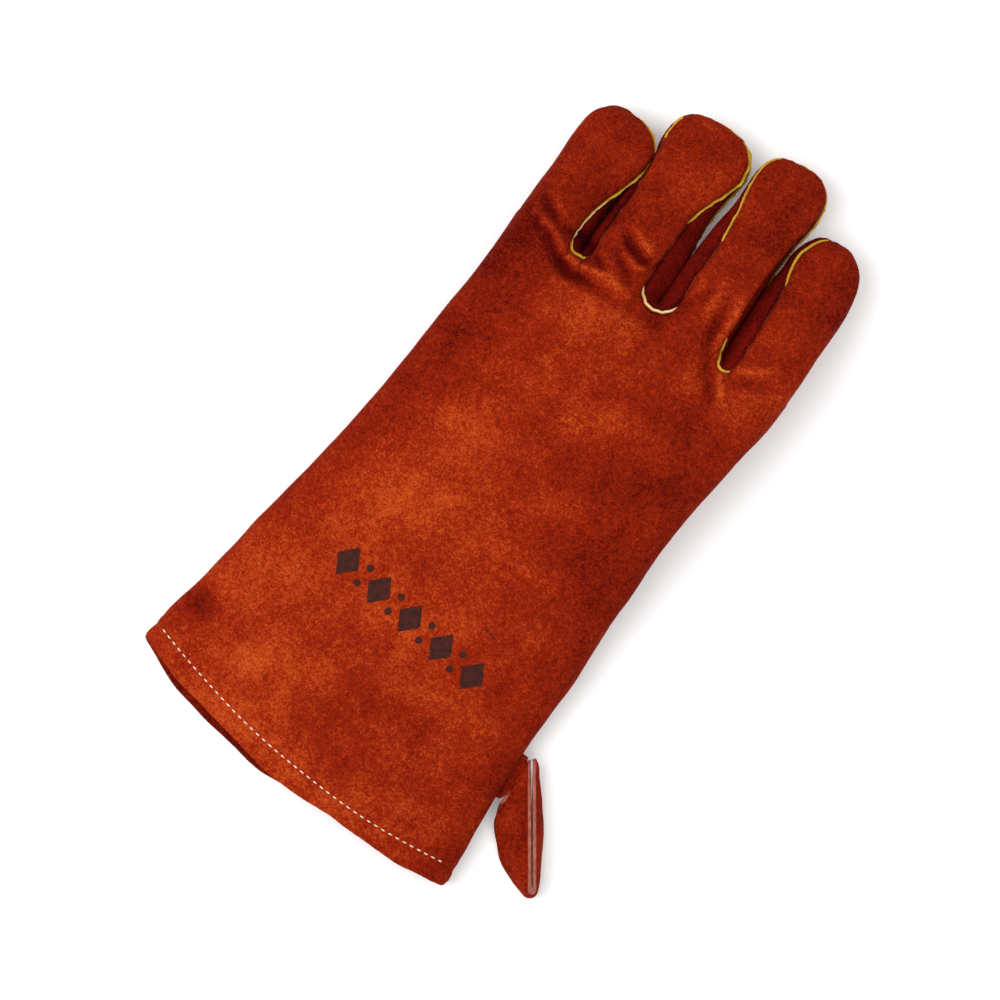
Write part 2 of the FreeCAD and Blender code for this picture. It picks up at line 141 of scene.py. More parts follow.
# ---------------------------------------------------------------- shape of the glove
def curve(stations, y):
    """Smooth interpolation of station rows (y, value, value...) at y."""
    rows = np.array(stations, float)
    y = min(max(y, rows[0, 0]), rows[-1, 0])
    k = min(max(int(np.searchsorted(rows[:, 0], y)) - 1, 0), len(rows) - 2)
    y0, y1 = rows[k, 0], rows[k + 1, 0]
    h = y1 - y0
    s = (y - y0) / h

    def slope(i):
        a, b = max(i - 1, 0), min(i + 1, len(rows) - 1)
        return (rows[b, 1:] - rows[a, 1:]) / (rows[b, 0] - rows[a, 0])

    return ((2 * s ** 3 - 3 * s ** 2 + 1) * rows[k, 1:] + (s ** 3 - 2 * s ** 2 + s) * h * slope(k)
            + (3 * s ** 2 - 2 * s ** 3) * rows[k + 1, 1:] + (s ** 3 - s ** 2) * h * slope(k + 1))


# rows of the hand: share of the way from mouth to crotches, left x, y, right x, y, underside, top, squareness
HAND = [
    (0.00, -107, -153, 68, -180, 0.4, 24.0, 2.6), (0.05, -104, -141, 68, -166, 0.3, 25.5, 2.6),
    (0.12, -100, -127, 68, -147, 0.3, 26.5, 2.6), (0.20, -95, -106, 69, -124, 0.3, 28.0, 2.6),
    (0.36, -85.5, -64, 71, -77, 3.0, 32.5, 2.7), (0.54, -75.5, -18, 73.5, -28, 11.0, 39.0, 2.8),
    (0.68, -69, 18, 75.5, 10, 17.0, 44.5, 3.0), (0.80, -65, 48, 81.5, 40, 18.0, 46.5, 3.1),
    (0.92, -61.5, 80, 87, 69, 15.5, 44.0, 3.3), (1.00, -60, 101, 88.5, 90, 12.0, 40.0, 3.4),
]
MOUTH_BULGE, BULGE_REACH = 10.5, 0.55      # how far the mouth bows out, and up to which share of the hand
WIDEST = 0.36         # share of its height at which a row is widest

# fingers by y: left and right seam of the back, widest left and right of the walls, underside, top
FINGER_ROWS = {
    "little": [(100, -58.5, -32, -60, -26.7, 11, 38), (110, -58, -32, -59, -26.4, 9.3, 35.8),
               (118, -57.6, -30, -58.4, -25.6, 8.0, 33.6), (127, -57, -26.5, -57.6, -24.2, 6.6, 31.2),
               (135, -56.8, -23, -57.2, -22.7, 5.4, 29), (143, -56.4, -20.8, -56.6, -21.4, 4.2, 27.4),
               (149, -55.4, -20.2, -55.6, -21, 3.4, 26.2)],
    "ring": [(98, -22, 6.5, -26.0, 15.2, 11, 38.5), (110, -20.8, 6.5, -25.6, 16.1, 9.6, 36.4),
             (120, -20, 7.2, -24.4, 15.9, 8.4, 34.6), (131, -19.4, 8.2, -22.6, 15.2, 7, 32.6),
             (139, -19.2, 10, -21.0, 15.4, 6, 31), (147, -19.2, 13.4, -20, 16.6, 5, 29.4),
             (155, -19.6, 17.6, -20.2, 18.4, 4, 28), (160, -20.4, 19.2, -20.6, 19.6, 3.5, 27)],
    "middle": [(98, 23.4, 49.5, 16.0, 52.0, 11, 38.5), (110, 24, 50.4, 16.9, 52.4, 9.7, 36.8),
               (122, 25, 50.8, 17.4, 52.7, 8.3, 34.8), (133, 25.8, 51.8, 18.8, 52.8, 7, 33),
               (142, 25.8, 53.4, 20.2, 53.6, 6, 31.4), (150, 25.4, 55, 21.8, 55, 5, 30),
               (158, 24.6, 56.8, 23.2, 56.8, 4, 28.6), (164, 24.2, 57.6, 24, 57.6, 3.4, 27.6)],
    "index": [(88, 61, 88, 52.9, 88.8, 11.4, 39), (100, 61, 89, 52.8, 89.6, 11, 37.8),
              (112, 61, 90, 53.2, 90.6, 9.2, 35.2), (124, 61, 90.8, 53.7, 91.4, 7.4, 32.4),
              (133, 60.6, 91, 54.8, 91.6, 6, 30.4), (140, 59.4, 90.8, 56.2, 91, 4.8, 28.6)],
}
ROOT_Y = {"little": 100.0, "ring": 98.0, "middle": 98.0, "index": 88.0}
TIP = {"little": (147, 162.8, -39.8, 2.3), "ring": (160, 179.4, -0.4, 2.8), "middle": (164, 182, 41, 2.9),
       "index": (139, 160.6, 71.8, 2.3)}      # y where the dome starts, y of the tip, x of the tip, squareness
CROTCH_Y = (94.0, 91.0, 82.5)       # lowest point of each crotch, from the little finger's side
CROTCH_PINCH, CROTCH_RISE = 0.55, 1.5     # how much shallower a crotch is at mid height; its lip over the back
N_TOP, N_GAP, N_WALL = 16, 6, 7
SEAM_DROP = 6.5       # the seams of the back run this far below a finger's top
BOTTOM_RISE = 5.5     # and those of the palm side this far above its underside
ROUND = 0.8           # power of the cosine and sine in a finger's and the thumb's section: below 1 is squarer


def finger_ring(name, y, inset=0.0):
    """One ring of a finger, from the left seam over the back, down the right wall, below and up again."""
    rows = FINGER_ROWS[name]
    dome_y, tip_y, tip_x, square = TIP[name]
    ls, rs, lo, ro, zb, zt = curve(rows, min(y, dome_y))
    share = 1.0
    if y > dome_y:
        share = (1 - min(0.999, (y - dome_y) / (tip_y - dome_y)) ** square) ** (1 / square)
        slope = (rows[-1][5] - rows[-2][5]) / (rows[-1][0] - rows[-2][0])
        zb = max(zb + slope * (y - dome_y), 1.2)
    seam_t, seam_b = zt - SEAM_DROP, zb + BOTTOM_RISE
    low_l, low_r = lo + (2.5 if name == "little" else 6.0), ro + (-2.5 if name == "index" else 1.0)

    def arc(left, right_, z, height, angles):
        return [((left + right_) / 2 + (right_ - left) / 2 * power(math.cos(a), ROUND),
                 z + height * abs(math.sin(a)) ** ROUND) for a in angles]

    def wall(top, out, low, z0, z1):
        made = []
        for k in range(1, N_WALL):
            v = k / N_WALL
            x = top * (v - 0.5) * (v - 1) / 0.5 + out * v * (v - 1) / (0.5 * -0.5) + low * v * (v - 0.5) / 0.5
            made.append((x, z0 + (z1 - z0) * v))
        return made

    points = arc(ls, rs, seam_t, zt - seam_t, [math.pi * (1 - k / N_TOP) for k in range(N_TOP + 1)])
    points += wall(rs, ro, low_r, seam_t, seam_b)
    points += arc(low_l, low_r, seam_b, zb - seam_b, [math.pi * k / N_TOP for k in range(N_TOP + 1)])
    points += wall(ls, lo, low_l, seam_t, seam_b)[::-1]
    ring = np.array([(x, y, z) for x, z in points], float)
    centre = np.array([(lo + ro) / 2 * share + tip_x * (1 - share), y, (zb + zt) / 2 - 1.5])
    if share < 1:
        small = max(share, 0.02)
        ring[:, 0] = centre[0] + (ring[:, 0] - (lo + ro) / 2) * small
        ring[:, 2] = centre[2] + (ring[:, 2] - (zb + zt) / 2) * small ** 0.9
    if inset:
        half = np.array([max(2.0, (ro - lo) / 2 * share), 1, max(2.0, (zt - zb) / 2 * share)])
        scale = np.maximum(0.05, 1 - inset / half)
        scale[1] = 1
        ring = centre + (ring - centre) * scale
    return ring


N_RING = 2 * (N_TOP + N_WALL)
COLUMNS = 4 * N_TOP + 3 * N_GAP      # quads across the top of the hand


def junction():
    """Where hand and fingers meet: root rings of the fingers, rows over back and palm, crotch walls."""
    rings = {f: finger_ring(f, ROOT_Y[f]) for f in FINGERS}
    top, bottom, walls = [], [], []
    for i, f in enumerate(FINGERS):
        ring = rings[f]
        top += list(ring[:N_TOP + 1])
        bottom += list(ring[N_TOP + N_WALL:2 * N_TOP + N_WALL + 1][::-1])
        if i < len(CROTCH_Y):
            following = rings[FINGERS[i + 1]]
            left = ring[N_TOP:N_TOP + N_WALL + 1]
            right_wall = np.vstack([following[:1], following[2 * N_TOP + N_WALL:][::-1]])
            sheet = np.zeros((N_WALL + 1, N_GAP + 1, 3))
            for v in range(N_WALL + 1):
                a, b = left[v], right_wall[v]
                pinch = 1 - CROTCH_PINCH * math.sin(math.pi * v / N_WALL)
                for k in range(N_GAP + 1):
                    s = 0.5 - 0.5 * math.cos(math.pi * k / N_GAP)
                    p = a + (b - a) * s
                    reach = math.sqrt(max(0.0, 1 - (2 * s - 1) ** 2))
                    p[1] -= (p[1] - CROTCH_Y[i]) * reach * pinch
                    if v == 0:
                        p[2] += CROTCH_RISE * reach
                    sheet[v, k] = p
            walls.append(sheet)
            top += list(sheet[0, 1:-1])
            bottom += list(sheet[N_WALL, 1:-1])
    return rings, np.array(top), np.array(bottom), walls


RINGS, TOP_ROW, BOTTOM_ROW, SADDLES = junction()
assert len(TOP_ROW) == COLUMNS + 1, (len(TOP_ROW), COLUMNS)


EDGE_TOP, EDGE_LOW = 0.955, 0.93     # how near the panels' edges come to the widest point of a row


def spread(row, edge):
    """The places of a row's points across the hand, from -edge to edge."""
    middle, half = (row[0][0] + row[-1][0]) / 2, (row[-1][0] - row[0][0]) / 2
    return (row[:, 0] - middle) / half * edge


def hand_row(t, inset=0.0):
    """One closed row of hand and cuff: across the top, down the right side, back below, up the left side."""
    xl, yl, xr, yr, zb, zt, square = curve(HAND, t)
    half = math.hypot(xr - xl, yr - yl) / 2
    z_wide = zb + WIDEST * (zt - zb)
    zb, zt = zb + inset, zt - inset
    bulge = MOUTH_BULGE * max(0.0, 1 - t / BULGE_REACH) ** 1.3
    shares_top, shares_bottom = spread(TOP_ROW, EDGE_TOP), spread(BOTTOM_ROW, EDGE_LOW)
    low_square = 4.6 - 1.2 * min(1, t / 0.5)

    def at(f, z):
        u = (f * (half - inset) / half + 1) / 2
        return (xl + (xr - xl) * u, yl + (yr - yl) * u - bulge * 4 * u * (1 - u), z)

    def side(sign):
        top_angle = math.acos(EDGE_TOP ** (square / 2))
        low_angle = math.acos(EDGE_LOW ** (low_square / 2))
        made = []
        for k in range(1, N_WALL):
            a = top_angle - (top_angle + low_angle) * k / N_WALL
            n = square if a > 0 else low_square
            f = math.cos(a) ** (2 / n)
            reach = (zt - z_wide) if a > 0 else (z_wide - zb)
            made.append(at(sign * f, z_wide + reach * power(math.sin(a), 2 / n)))
        return made

    def face(shares, reach, n):
        return [at(f, z_wide + reach * (1 - abs(f) ** n) ** (1 / n)) for f in shares]

    over, under = face(shares_top, zt - z_wide, square), face(shares_bottom, zb - z_wide, low_square)
    return np.array(over + side(1) + under[::-1] + side(-1)[::-1], float)


def end_row():
    """The last row of the hand, which the fingers and crotch walls start from."""
    right_side = RINGS["index"][N_TOP + 1:N_TOP + N_WALL]
    left_side = RINGS["little"][2 * N_TOP + N_WALL + 1:]
    return np.vstack([TOP_ROW, right_side, BOTTOM_ROW[::-1], left_side])


N_HAND = 84
HAND_T = [k / N_HAND for k in range(N_HAND + 1)]
OFFSET = end_row() - hand_row(1.0)
ROOT_REACH = 0.16      # the share of the hand, before the crotches, that is drawn towards the finger roots


def shaped_hand_row(t):
    """A row of the hand, drawn towards the shape of the finger roots near them."""
    return hand_row(t) + OFFSET * max(0.0, 1 - (1 - t) / ROOT_REACH) ** 2.2


# ---------------------------------------------------------------- master mesh
class Builder:
    def __init__(self):
        self.points, self.faces, self.tags = [], [], []

    def add(self, grid, tag, closed=False):
        """Quads of a grid of points [row][column]; tag is a number, or gives one for a row and a column."""
        rows, cols = len(grid), len(grid[0])
        self.faces += grid_quads(rows, cols, len(self.points), closed)
        self.points += [tuple(p) for row in grid for p in row]
        self.tags += [tag(r, c) if callable(tag) else tag
                      for r in range(rows - 1) for c in range(cols if closed else cols - 1)]


TAGS = ["hand_back", "hand_palm", "cuff_front", "crotch", "hem_inside"]
for f_ in FINGERS:
    TAGS += [f_ + "_back", f_ + "_front", f_ + "_wall_right", f_ + "_wall_left"]
T = {n: i for i, n in enumerate(TAGS)}
WRIST_T = 0.52
LOW_START = COLUMNS + N_WALL      # column where the palm side of a row begins


def hand_tag(r, c):
    if LOW_START <= c < LOW_START + COLUMNS:
        return T["cuff_front"] if HAND_T[r] < WRIST_T else T["hand_palm"]
    return T["hand_back"]


def finger_tag(f):
    """Panels by column; the outer side of an outer finger is part of its back."""
    def tag(_, c):
        if c < N_TOP:
            return T[f + "_back"]
        if c < N_TOP + N_WALL:
            return T[f + "_wall_right"] if f != "index" else T[f + "_back"]
        if c < 2 * N_TOP + N_WALL:
            return T[f + "_front"]
        return T[f + "_wall_left"] if f != "little" else T[f + "_back"]
    return tag


RING_STEP = 2.6
DOME_ANGLES = (12, 24, 36, 47, 57, 66, 74, 80, 85)


def finger_ys(f):
    """Where along a finger its rings are: evenly up to the dome, then closer towards the tip."""
    y, (dome_y, tip_y) = ROOT_Y[f], TIP[f][:2]
    count = int(round((dome_y - y) / RING_STEP))
    ys = [y + (dome_y - y) * k / count for k in range(count + 1)]
    return ys + [dome_y + (tip_y - dome_y) * math.sin(math.radians(a)) for a in DOME_ANGLES]


# the turned hem, from inside the cuff out to its lip: inset from the skin, and how far out of the mouth
HEM_ROWS = ((3.2, -13.0), (3.2, -9.0), (3.2, -5.0), (3.2, -1.5), (2.6, 0.3), (1.5, 1.1), (0.45, 0.6))


def build_master():
    """Hem, hand, fingers and crotch walls as one mesh, each face tagged with its panel."""
    b = Builder()
    rows = [shaped_hand_row(t) for t in HAND_T]
    outward = unit(rows[0] - rows[1])
    hem = [hand_row(0.0, inset) + outward * out for inset, out in HEM_ROWS]
    b.add(hem + rows[:1], T["hem_inside"], closed=True)
    b.add(rows, hand_tag, closed=True)
    for f in FINGERS:
        grid = [finger_ring(f, y) for y in finger_ys(f)]
        b.add(grid, finger_tag(f), closed=True)
        # close the tip
        base, last = len(b.points), grid[-1]
        b.points += [tuple(p) for p in last] + [tuple(last.mean(axis=0) + np.array([0, 0.25, 0]))]
        for c in range(0, N_RING, 2):
            b.faces.append([base + c, base + (c + 1) % N_RING, base + (c + 2) % N_RING, base + N_RING])
            b.tags.append(finger_tag(f)(0, c))
    for sheet in SADDLES:
        b.add(sheet, T["crotch"])
    mesh = bpy.data.meshes.new("master")
    mesh.from_pydata([tuple(c * MM for c in p) for p in b.points], [], b.faces)
    attribute = mesh.attributes.new("tag", "INT", "FACE")
    attribute.data.foreach_set("value", b.tags)
    bm = bmesh.new()
    bm.from_mesh(mesh)
    bmesh.ops.remove_doubles(bm, verts=bm.verts, dist=0.00002)
    bmesh.ops.recalc_face_normals(bm, faces=bm.faces)
    bm.to_mesh(mesh)
    bm.free()
    return add_object("master", mesh)


def subdivided(obj, levels):
    modifier = obj.modifiers.new("smooth", "SUBSURF")
    modifier.levels = modifier.render_levels = levels
    modifier.uv_smooth = "NONE"
    depsgraph = bpy.context.evaluated_depsgraph_get()
    mesh = bpy.data.meshes.new_from_object(obj.evaluated_get(depsgraph))
    obj.modifiers.clear()
    obj.data = mesh
    return obj


master = subdivided(build_master(), 1)


# ---------------------------------------------------------------- seam lines (in millimetres)
def run_lengths(points):
    """How far along a line each of its points is."""
    return np.concatenate([[0], np.cumsum(np.linalg.norm(np.diff(points, axis=0), axis=1))])


def resampled(points, step):
    points = np.array(points, float)
    length = run_lengths(points)
    count = max(2, int(length[-1] / step))
    at = np.linspace(0, length[-1], count + 1)
    return np.array([np.interp(at, length, points[:, k]) for k in range(3)]).T


def finger_seam(f, column):
    """The line of one column of a finger from root to tip, and its outward directions."""
    points, ways = [], []
    for y in finger_ys(f):
        ring = finger_ring(f, y)
        centre = ring.mean(axis=0)
        way = (ring[column] - centre) * (1, 1, 1.2)
        points.append(ring[column])
        ways.append(way / max(1e-6, np.linalg.norm(way)))
    ways[-1] = np.array([0, 1.0, 0])
    ways[-2] = ways[-2] * 0.5 + np.array([0, 0.8, 0])
    ways[-3] = ways[-3] * 0.8 + np.array([0, 0.5, 0])
    return np.array(points), np.array(ways)


# columns of a finger with a seam: left and right edge of the back, then of the palm side
LT, RT, RB, LB = 0, N_TOP, N_TOP + N_WALL, 2 * N_TOP + N_WALL
OUTER_SEAMS = {"little": ((RT, LB), (RB,)), "index": ((LT, RB), (LB,))}
SEAMS = {}
for f_ in FINGERS:
    for label, columns_ in zip(("back", "palm"), OUTER_SEAMS.get(f_, ((LT, RT), (LB, RB)))):
        sides_ = [finger_seam(f_, column) for column in columns_]
        # out along the first column, round the tip and back along the second
        SEAMS[(f_, label)] = tuple(
            np.vstack([side[k][::1 - 2 * i] for i, side in enumerate(sides_)]) for k in (0, 1))
for i_, saddle in enumerate(SADDLES):
    for label, row in (("back", saddle[0]), ("palm", saddle[N_WALL])):
        ways = np.tile([0, 0.25, 1.0 if label == "back" else -1.0], (len(row), 1))
        SEAMS[("crotch%d" % i_, label)] = (row, unit(ways))


SIDE_SEAM_DROP = 5      # columns below the back panel's edge


def side_seam(side):
    """The side seam of hand and cuff, low on the side, from mouth to finger."""
    column = COLUMNS + SIDE_SEAM_DROP if side == "thumb" else 2 * LOW_START - SIDE_SEAM_DROP
    rows = [shaped_hand_row(t) for t in HAND_T]
    ways = np.array([(row[column][0] - row.mean(axis=0)[0], 0, -3.0) for row in rows])
    return np.array([row[column] for row in rows]), unit(ways)


SIDE_SEAMS = {side: side_seam(side) for side in ("thumb", "little")}


# ---------------------------------------------------------------- sculpting
def waves(co, wavelength, seed, count=14):
    """Smooth random undulation between about -1 and 1."""
    rng = np.random.RandomState(seed)
    total = np.zeros(len(co))
    for _ in range(count):
        way = rng.normal(size=3)
        way /= np.linalg.norm(way)
        total += np.sin(co @ way * (2 * math.pi / (wavelength * rng.uniform(0.7, 1.5))) + rng.uniform(0, 6.28))
    return total / math.sqrt(count) / 1.3


def line_distance(co, line):
    """Distance in plan of each point from a line, and the share of the way along it."""
    line = np.array(line, float)
    best, where = np.full(len(co), 1e9), np.zeros(len(co))
    lengths = np.linalg.norm(np.diff(line[:, :2], axis=0), axis=1)
    total, run = lengths.sum(), 0.0
    for a, b, length in zip(line, line[1:], lengths):
        d = (b - a)[:2]
        s = np.clip(((co[:, :2] - a[:2]) @ d) / max(1e-9, d @ d), 0, 1)
        gap = np.linalg.norm(co[:, :2] - (a[:2] + s[:, None] * d), axis=1)
        closer = gap < best
        best = np.where(closer, gap, best)
        where = np.where(closer, (run + s * length) / total, where)
        run += length
    return best, where


def fold(co, line, height, width):
    """A ridge (or, when height is negative, a valley) along a line that fades out at both ends."""
    distance, where = line_distance(co, line)
    fade = np.clip(np.sin(math.pi * np.clip(where, 0.03, 0.97)), 0, 1) ** 0.5
    return height * bell(distance, 0, width) * fade


# creases across the knuckles, seen from above: line, height, width
FOLDS = [
    ([(-52, 102), (-41, 98), (-34, 92), (-24, 90), (-10, 93), (2, 90)], 1.7, 2.6),
    ([(-50, 98), (-38, 92), (-28, 86), (-14, 85), (0, 84)], -1.5, 3.0),
    ([(-40, 100), (-28, 103), (-18, 98), (-12, 93)], -1.2, 2.5),
    ([(-26, 99), (-17, 100), (-10, 96)], 0.9, 2.0),
    ([(-14, 115), (-8, 110), (-1, 107), (5, 108)], -1.7, 2.2),
    ([(-12, 119), (-4, 114), (4, 112)], 1.2, 2.4),
    ([(-8, 106), (0, 103), (4, 106)], 1.2, 2.0),
    ([(-16, 106), (-10, 103), (-4, 99), (2, 94)], -0.9, 2.0),
    ([(47, 116), (48, 106), (47, 95), (51, 84)], 1.3, 2.6),
    ([(42, 110), (43, 100), (44, 90), (48, 80)], -1.0, 3.0),
    ([(55, 82), (59, 76), (63, 70)], 1.2, 2.4),
    ([(51, 80), (55, 73), (58, 66)], -1.0, 2.6),
    ([(60, 86), (67, 89), (76, 95)], 1.2, 2.6),
    ([(62, 81), (70, 84), (78, 88)], -0.9, 3.0),
    ([(22, 96), (28, 102), (34, 112)], -0.8, 3.0),
    ([(26, 118), (29, 106), (31, 98)], 0.7, 3.5),
    ([(38, 120), (37, 108), (38, 96)], 0.6, 3.5),
    ([(-55, 112), (-47, 105), (-40, 102)], -1.1, 2.6),
    ([(-50, 112), (-44, 108), (-38, 106)], 0.8, 2.4),
    ([(-2, 84), (10, 86), (22, 86), (30, 82)], -0.7, 3.5),
    ([(70, 100), (78, 90), (82, 78)], -0.6, 4.0),
    ([(-58, 84), (-48, 78), (-40, 68)], -0.6, 5.0),
    ([(-70, 20), (-58, 30), (-44, 34)], -0.7, 7.0),
    ([(20, 10), (40, 0), (66, -6)], -0.8, 8.0),
    ([(30, -20), (50, -34), (70, -36)], 0.8, 7.0),
    ([(-84, -50), (-60, -40), (-40, -22)], 0.7, 9.0),
    ([(-95, -128), (-80, -118), (-62, -116)], -0.9, 6.0),
    ([(30, -140), (48, -120), (66, -112)], -0.8, 7.0),
]


def kd_of(points):
    tree = KDTree(len(points))
    for k, p in enumerate(points):
        tree.insert(p, k)
    tree.balance()
    return tree


def sculpt(co, normal):
    """How far each point of the skin moves along its normal (all in millimetres)."""
    facing_up = np.clip((normal[:, 2] - 0.15) / 0.5, 0, 1)
    move = np.zeros(len(co))
    for line, height, width in FOLDS:
        move += facing_up * fold(co, line, height * (1.8 if width < 4 else 1.25), width)
    y = co[:, 1]
    hand = np.clip((108 - y) / 30, 0, 1)
    cuff = np.clip((-60 - y) / 60, 0, 1)
    move += waves(co, 60, 1) * (0.55 + 0.35 * cuff) * hand
    move += waves(co, 26, 2) * 0.22
    move += waves(co * np.array([1, 0.55, 1]), 11, 3) * (0.10 + 0.10 * np.clip((y - 70) / 20, 0, 1))
    move += waves(co, 4.5, 4) * 0.035
    near = np.full(len(co), 1e3)
    for line, _ in SEAMS.values():
        tree = kd_of(resampled(line, 0.8))
        box_low, box_high = line.min(axis=0) - 7, line.max(axis=0) + 7
        inside = np.nonzero(np.all((co > box_low) & (co < box_high), axis=1))[0]
        for k in inside:
            near[k] = min(near[k], tree.find(co[k])[2])
    pucker = 0.12 * np.sin(co[:, 0] * 1.1 + co[:, 1] * 1.6) * bell(near, 2.2, 1.2)
    move += -0.8 * bell(near, 0, 1.2) + 0.45 * bell(near, 3.2, 1.7) + pucker
    return move, near


MOUTH = shaped_hand_row(0.0)
MOUTH_TREE = kd_of([(p[0], p[1], 0) for p in resampled(MOUTH[:COLUMNS + 1], 1.0)])
STITCH_INSET = 8.6
FAR = 99.0            # for points away from the mouth

co0 = read_vectors(master.data.vertices, "co") * UNIT
normal0 = read_vectors(master.data.vertex_normals, "vector")
height0, near_seam = sculpt(co0, normal0)
shift = normal0 * height0[:, None]
mouth_gap = np.full(len(co0), FAR)
for k_ in np.nonzero(co0[:, 1] < -120)[0]:
    mouth_gap[k_] = MOUTH_TREE.find((co0[k_][0], co0[k_][1], 0))[2]
tags_face = np.empty(len(master.data.polygons), int)
master.data.attributes["tag"].data.foreach_get("value", tags_face)
inner_vertex = np.zeros(len(co0), bool)
for p_ in master.data.polygons:
    if tags_face[p_.index] == T["hem_inside"]:
        inner_vertex[list(p_.vertices)] = True
# pressed in along the stitches, swollen on both sides of them
hem_move = (-0.55 * bell(mouth_gap, STITCH_INSET, 0.9) + 0.38 * bell(mouth_gap, 4.6, 2.6)
            - 0.25 * bell(mouth_gap, 13.5, 2.2)) * ~inner_vertex
hem_move += 0.10 * np.sin(co0[:, 0] * 1.75) * bell(mouth_gap, STITCH_INSET, 2.0) * ~inner_vertex
shift += normal0 * hem_move[:, None]
# the mouth's edge wanders a little, and the far layer shows a little beyond the near one
HEM_WANDER, FAR_LAYER_SHOWS = 0.28, 4.6
edge_pull = bell(np.minimum(mouth_gap, 60), 0, 9.0)
shift[:, 1] += (0.9 * np.sin(co0[:, 0] / 9.0 + 1) + 0.6 * np.sin(co0[:, 0] / 4.1)) * edge_pull * HEM_WANDER
under = np.clip((13.0 - co0[:, 2]) / 8.0, 0, 1)
peek = np.exp(-((co0[:, 0] + 62) / 42.0) ** 4)
shift[:, 1] -= FAR_LAYER_SHOWS * under * peek * edge_pull
# it lies on the ground
final = co0 + shift
REST = 0.25           # below this height the skin is pressed flat
final[:, 2] = np.where(final[:, 2] < REST, REST - (REST - final[:, 2]) * 0.05, final[:, 2])
final[:, 2] = np.maximum(final[:, 2], 0.1)
shift = final - co0
master.data.vertices.foreach_set("co", (final * MM).ravel())
master.data.update()
SKIN_STEP = 3         # one vertex in three carries the shift on to the pieces that follow the skin
SHIFT_TREE = kd_of(co0[::SKIN_STEP])


def with_skin(points):
    """Points that follow the sculpted skin beneath them."""
    made = []
    for p in points:
        near = SHIFT_TREE.find_n(tuple(p), 4)
        weight = [1 / (d + 0.2) for _, _, d in near]
        moved = sum(shift[i * SKIN_STEP] * w for (_, i, _), w in zip(near, weight)) / sum(weight)
        made.append(np.array(p) + moved)
    return np.array(made)


master_normals = read_vectors(master.data.vertex_normals, "vector")
skin_tree = BVHTree.FromPolygons([v.co for v in master.data.vertices],
                                 [p.vertices for p in master.data.polygons])


# ---------------------------------------------------------------- materials
def material(name):
    made = bpy.data.materials.new(name)
    made.use_nodes = True
    nodes, links = made.node_tree.nodes, made.node_tree.links
    return made, nodes, links, nodes["Principled BSDF"]


def node(nodes, kind, **values):
    made = nodes.new(kind)
    for key, value in values.items():
        if hasattr(made, key):
            setattr(made, key, value)
        else:
            made.inputs[key.replace("_", " ")].default_value = value
    return made


def ramp(nodes, stops):
    made = nodes.new("ShaderNodeValToRGB")
    while len(made.color_ramp.elements) < len(stops):
        made.color_ramp.elements.new(0.5)
    for element, (at, colour) in zip(made.color_ramp.elements, stops):
        element.position = at
        element.color = (*colour, 1)
    return made


def srgb(r, g, b):
    return tuple(((c / 255 + 0.055) / 1.055) ** 2.4 if c > 10 else c / 255 / 12.92 for c in (r, g, b))


def added(nodes, links, first, second, **settings):
    made = node(nodes, "ShaderNodeMath", operation="ADD", **settings)
    links.new(first, made.inputs[0])
    links.new(second, made.inputs[1])
    return made.outputs[0]


def bumped(nodes, links, shader, height, strength, distance):
    bump = node(nodes, "ShaderNodeBump", Strength=strength, Distance=distance)
    links.new(height, bump.inputs["Height"])
    links.new(bump.outputs["Normal"], shader.inputs["Normal"])


def suede(name, dark, middle, light):
    """Split leather: three sizes of mottling round the piece's tone, which carries painted shade and painted
    highlight too, and a fine nap.
    """
    made, nodes, links, shader = material(name)
    where = node(nodes, "ShaderNodeTexCoord")
    big = node(nodes, "ShaderNodeTexNoise", Scale=34.0, Detail=5.0, Roughness=0.62, Distortion=0.6)
    small = node(nodes, "ShaderNodeTexNoise", Scale=380.0, Detail=4.0, Roughness=0.7, Distortion=0.3)
    grain = node(nodes, "ShaderNodeTexNoise", Scale=1000.0, Detail=3.0, Roughness=0.75)
    total = None
    for source, weight in ((big, 0.38), (small, 0.58), (grain, 1.0)):
        links.new(where.outputs["Object"], source.inputs["Vector"])
        centred = node(nodes, "ShaderNodeMath", operation="MULTIPLY_ADD")
        links.new(source.outputs["Fac"], centred.inputs[0])
        centred.inputs[1].default_value = weight
        centred.inputs[2].default_value = -weight * 0.5
        total = centred.outputs[0] if total is None else added(nodes, links, total, centred.outputs[0])
    tone = node(nodes, "ShaderNodeAttribute", attribute_name="tone")
    shade = added(nodes, links, total, tone.outputs["Fac"], use_clamp=True)
    colours = ramp(nodes, [(0.15, dark), (0.52, middle), (0.88, light)])
    links.new(shade, colours.inputs["Fac"])
    links.new(colours.outputs["Color"], shader.inputs["Base Color"])
    nap = added(nodes, links, grain.outputs["Fac"], small.outputs["Fac"])
    bumped(nodes, links, shader, nap, 0.35, 0.0006)
    for key, value in (("Roughness", 0.92), ("Specular IOR Level", 0.04), ("Sheen Weight", 0.03),
                       ("Sheen Roughness", 0.5), ("Sheen Tint", (*light, 1))):
        shader.inputs[key].default_value = value
    return made


LEATHER = suede("suede", srgb(74, 4, 2), srgb(138, 32, 7), srgb(194, 80, 28))
# a darker copy of the suede for the fourchettes and crotch gussets: painted shade between the fingers
WALL_SUEDE_PAINTED_SHADE = suede("suede_painted_shade_inside_fingers", srgb(56, 3, 3), srgb(112, 15, 7), srgb(148, 34, 12))


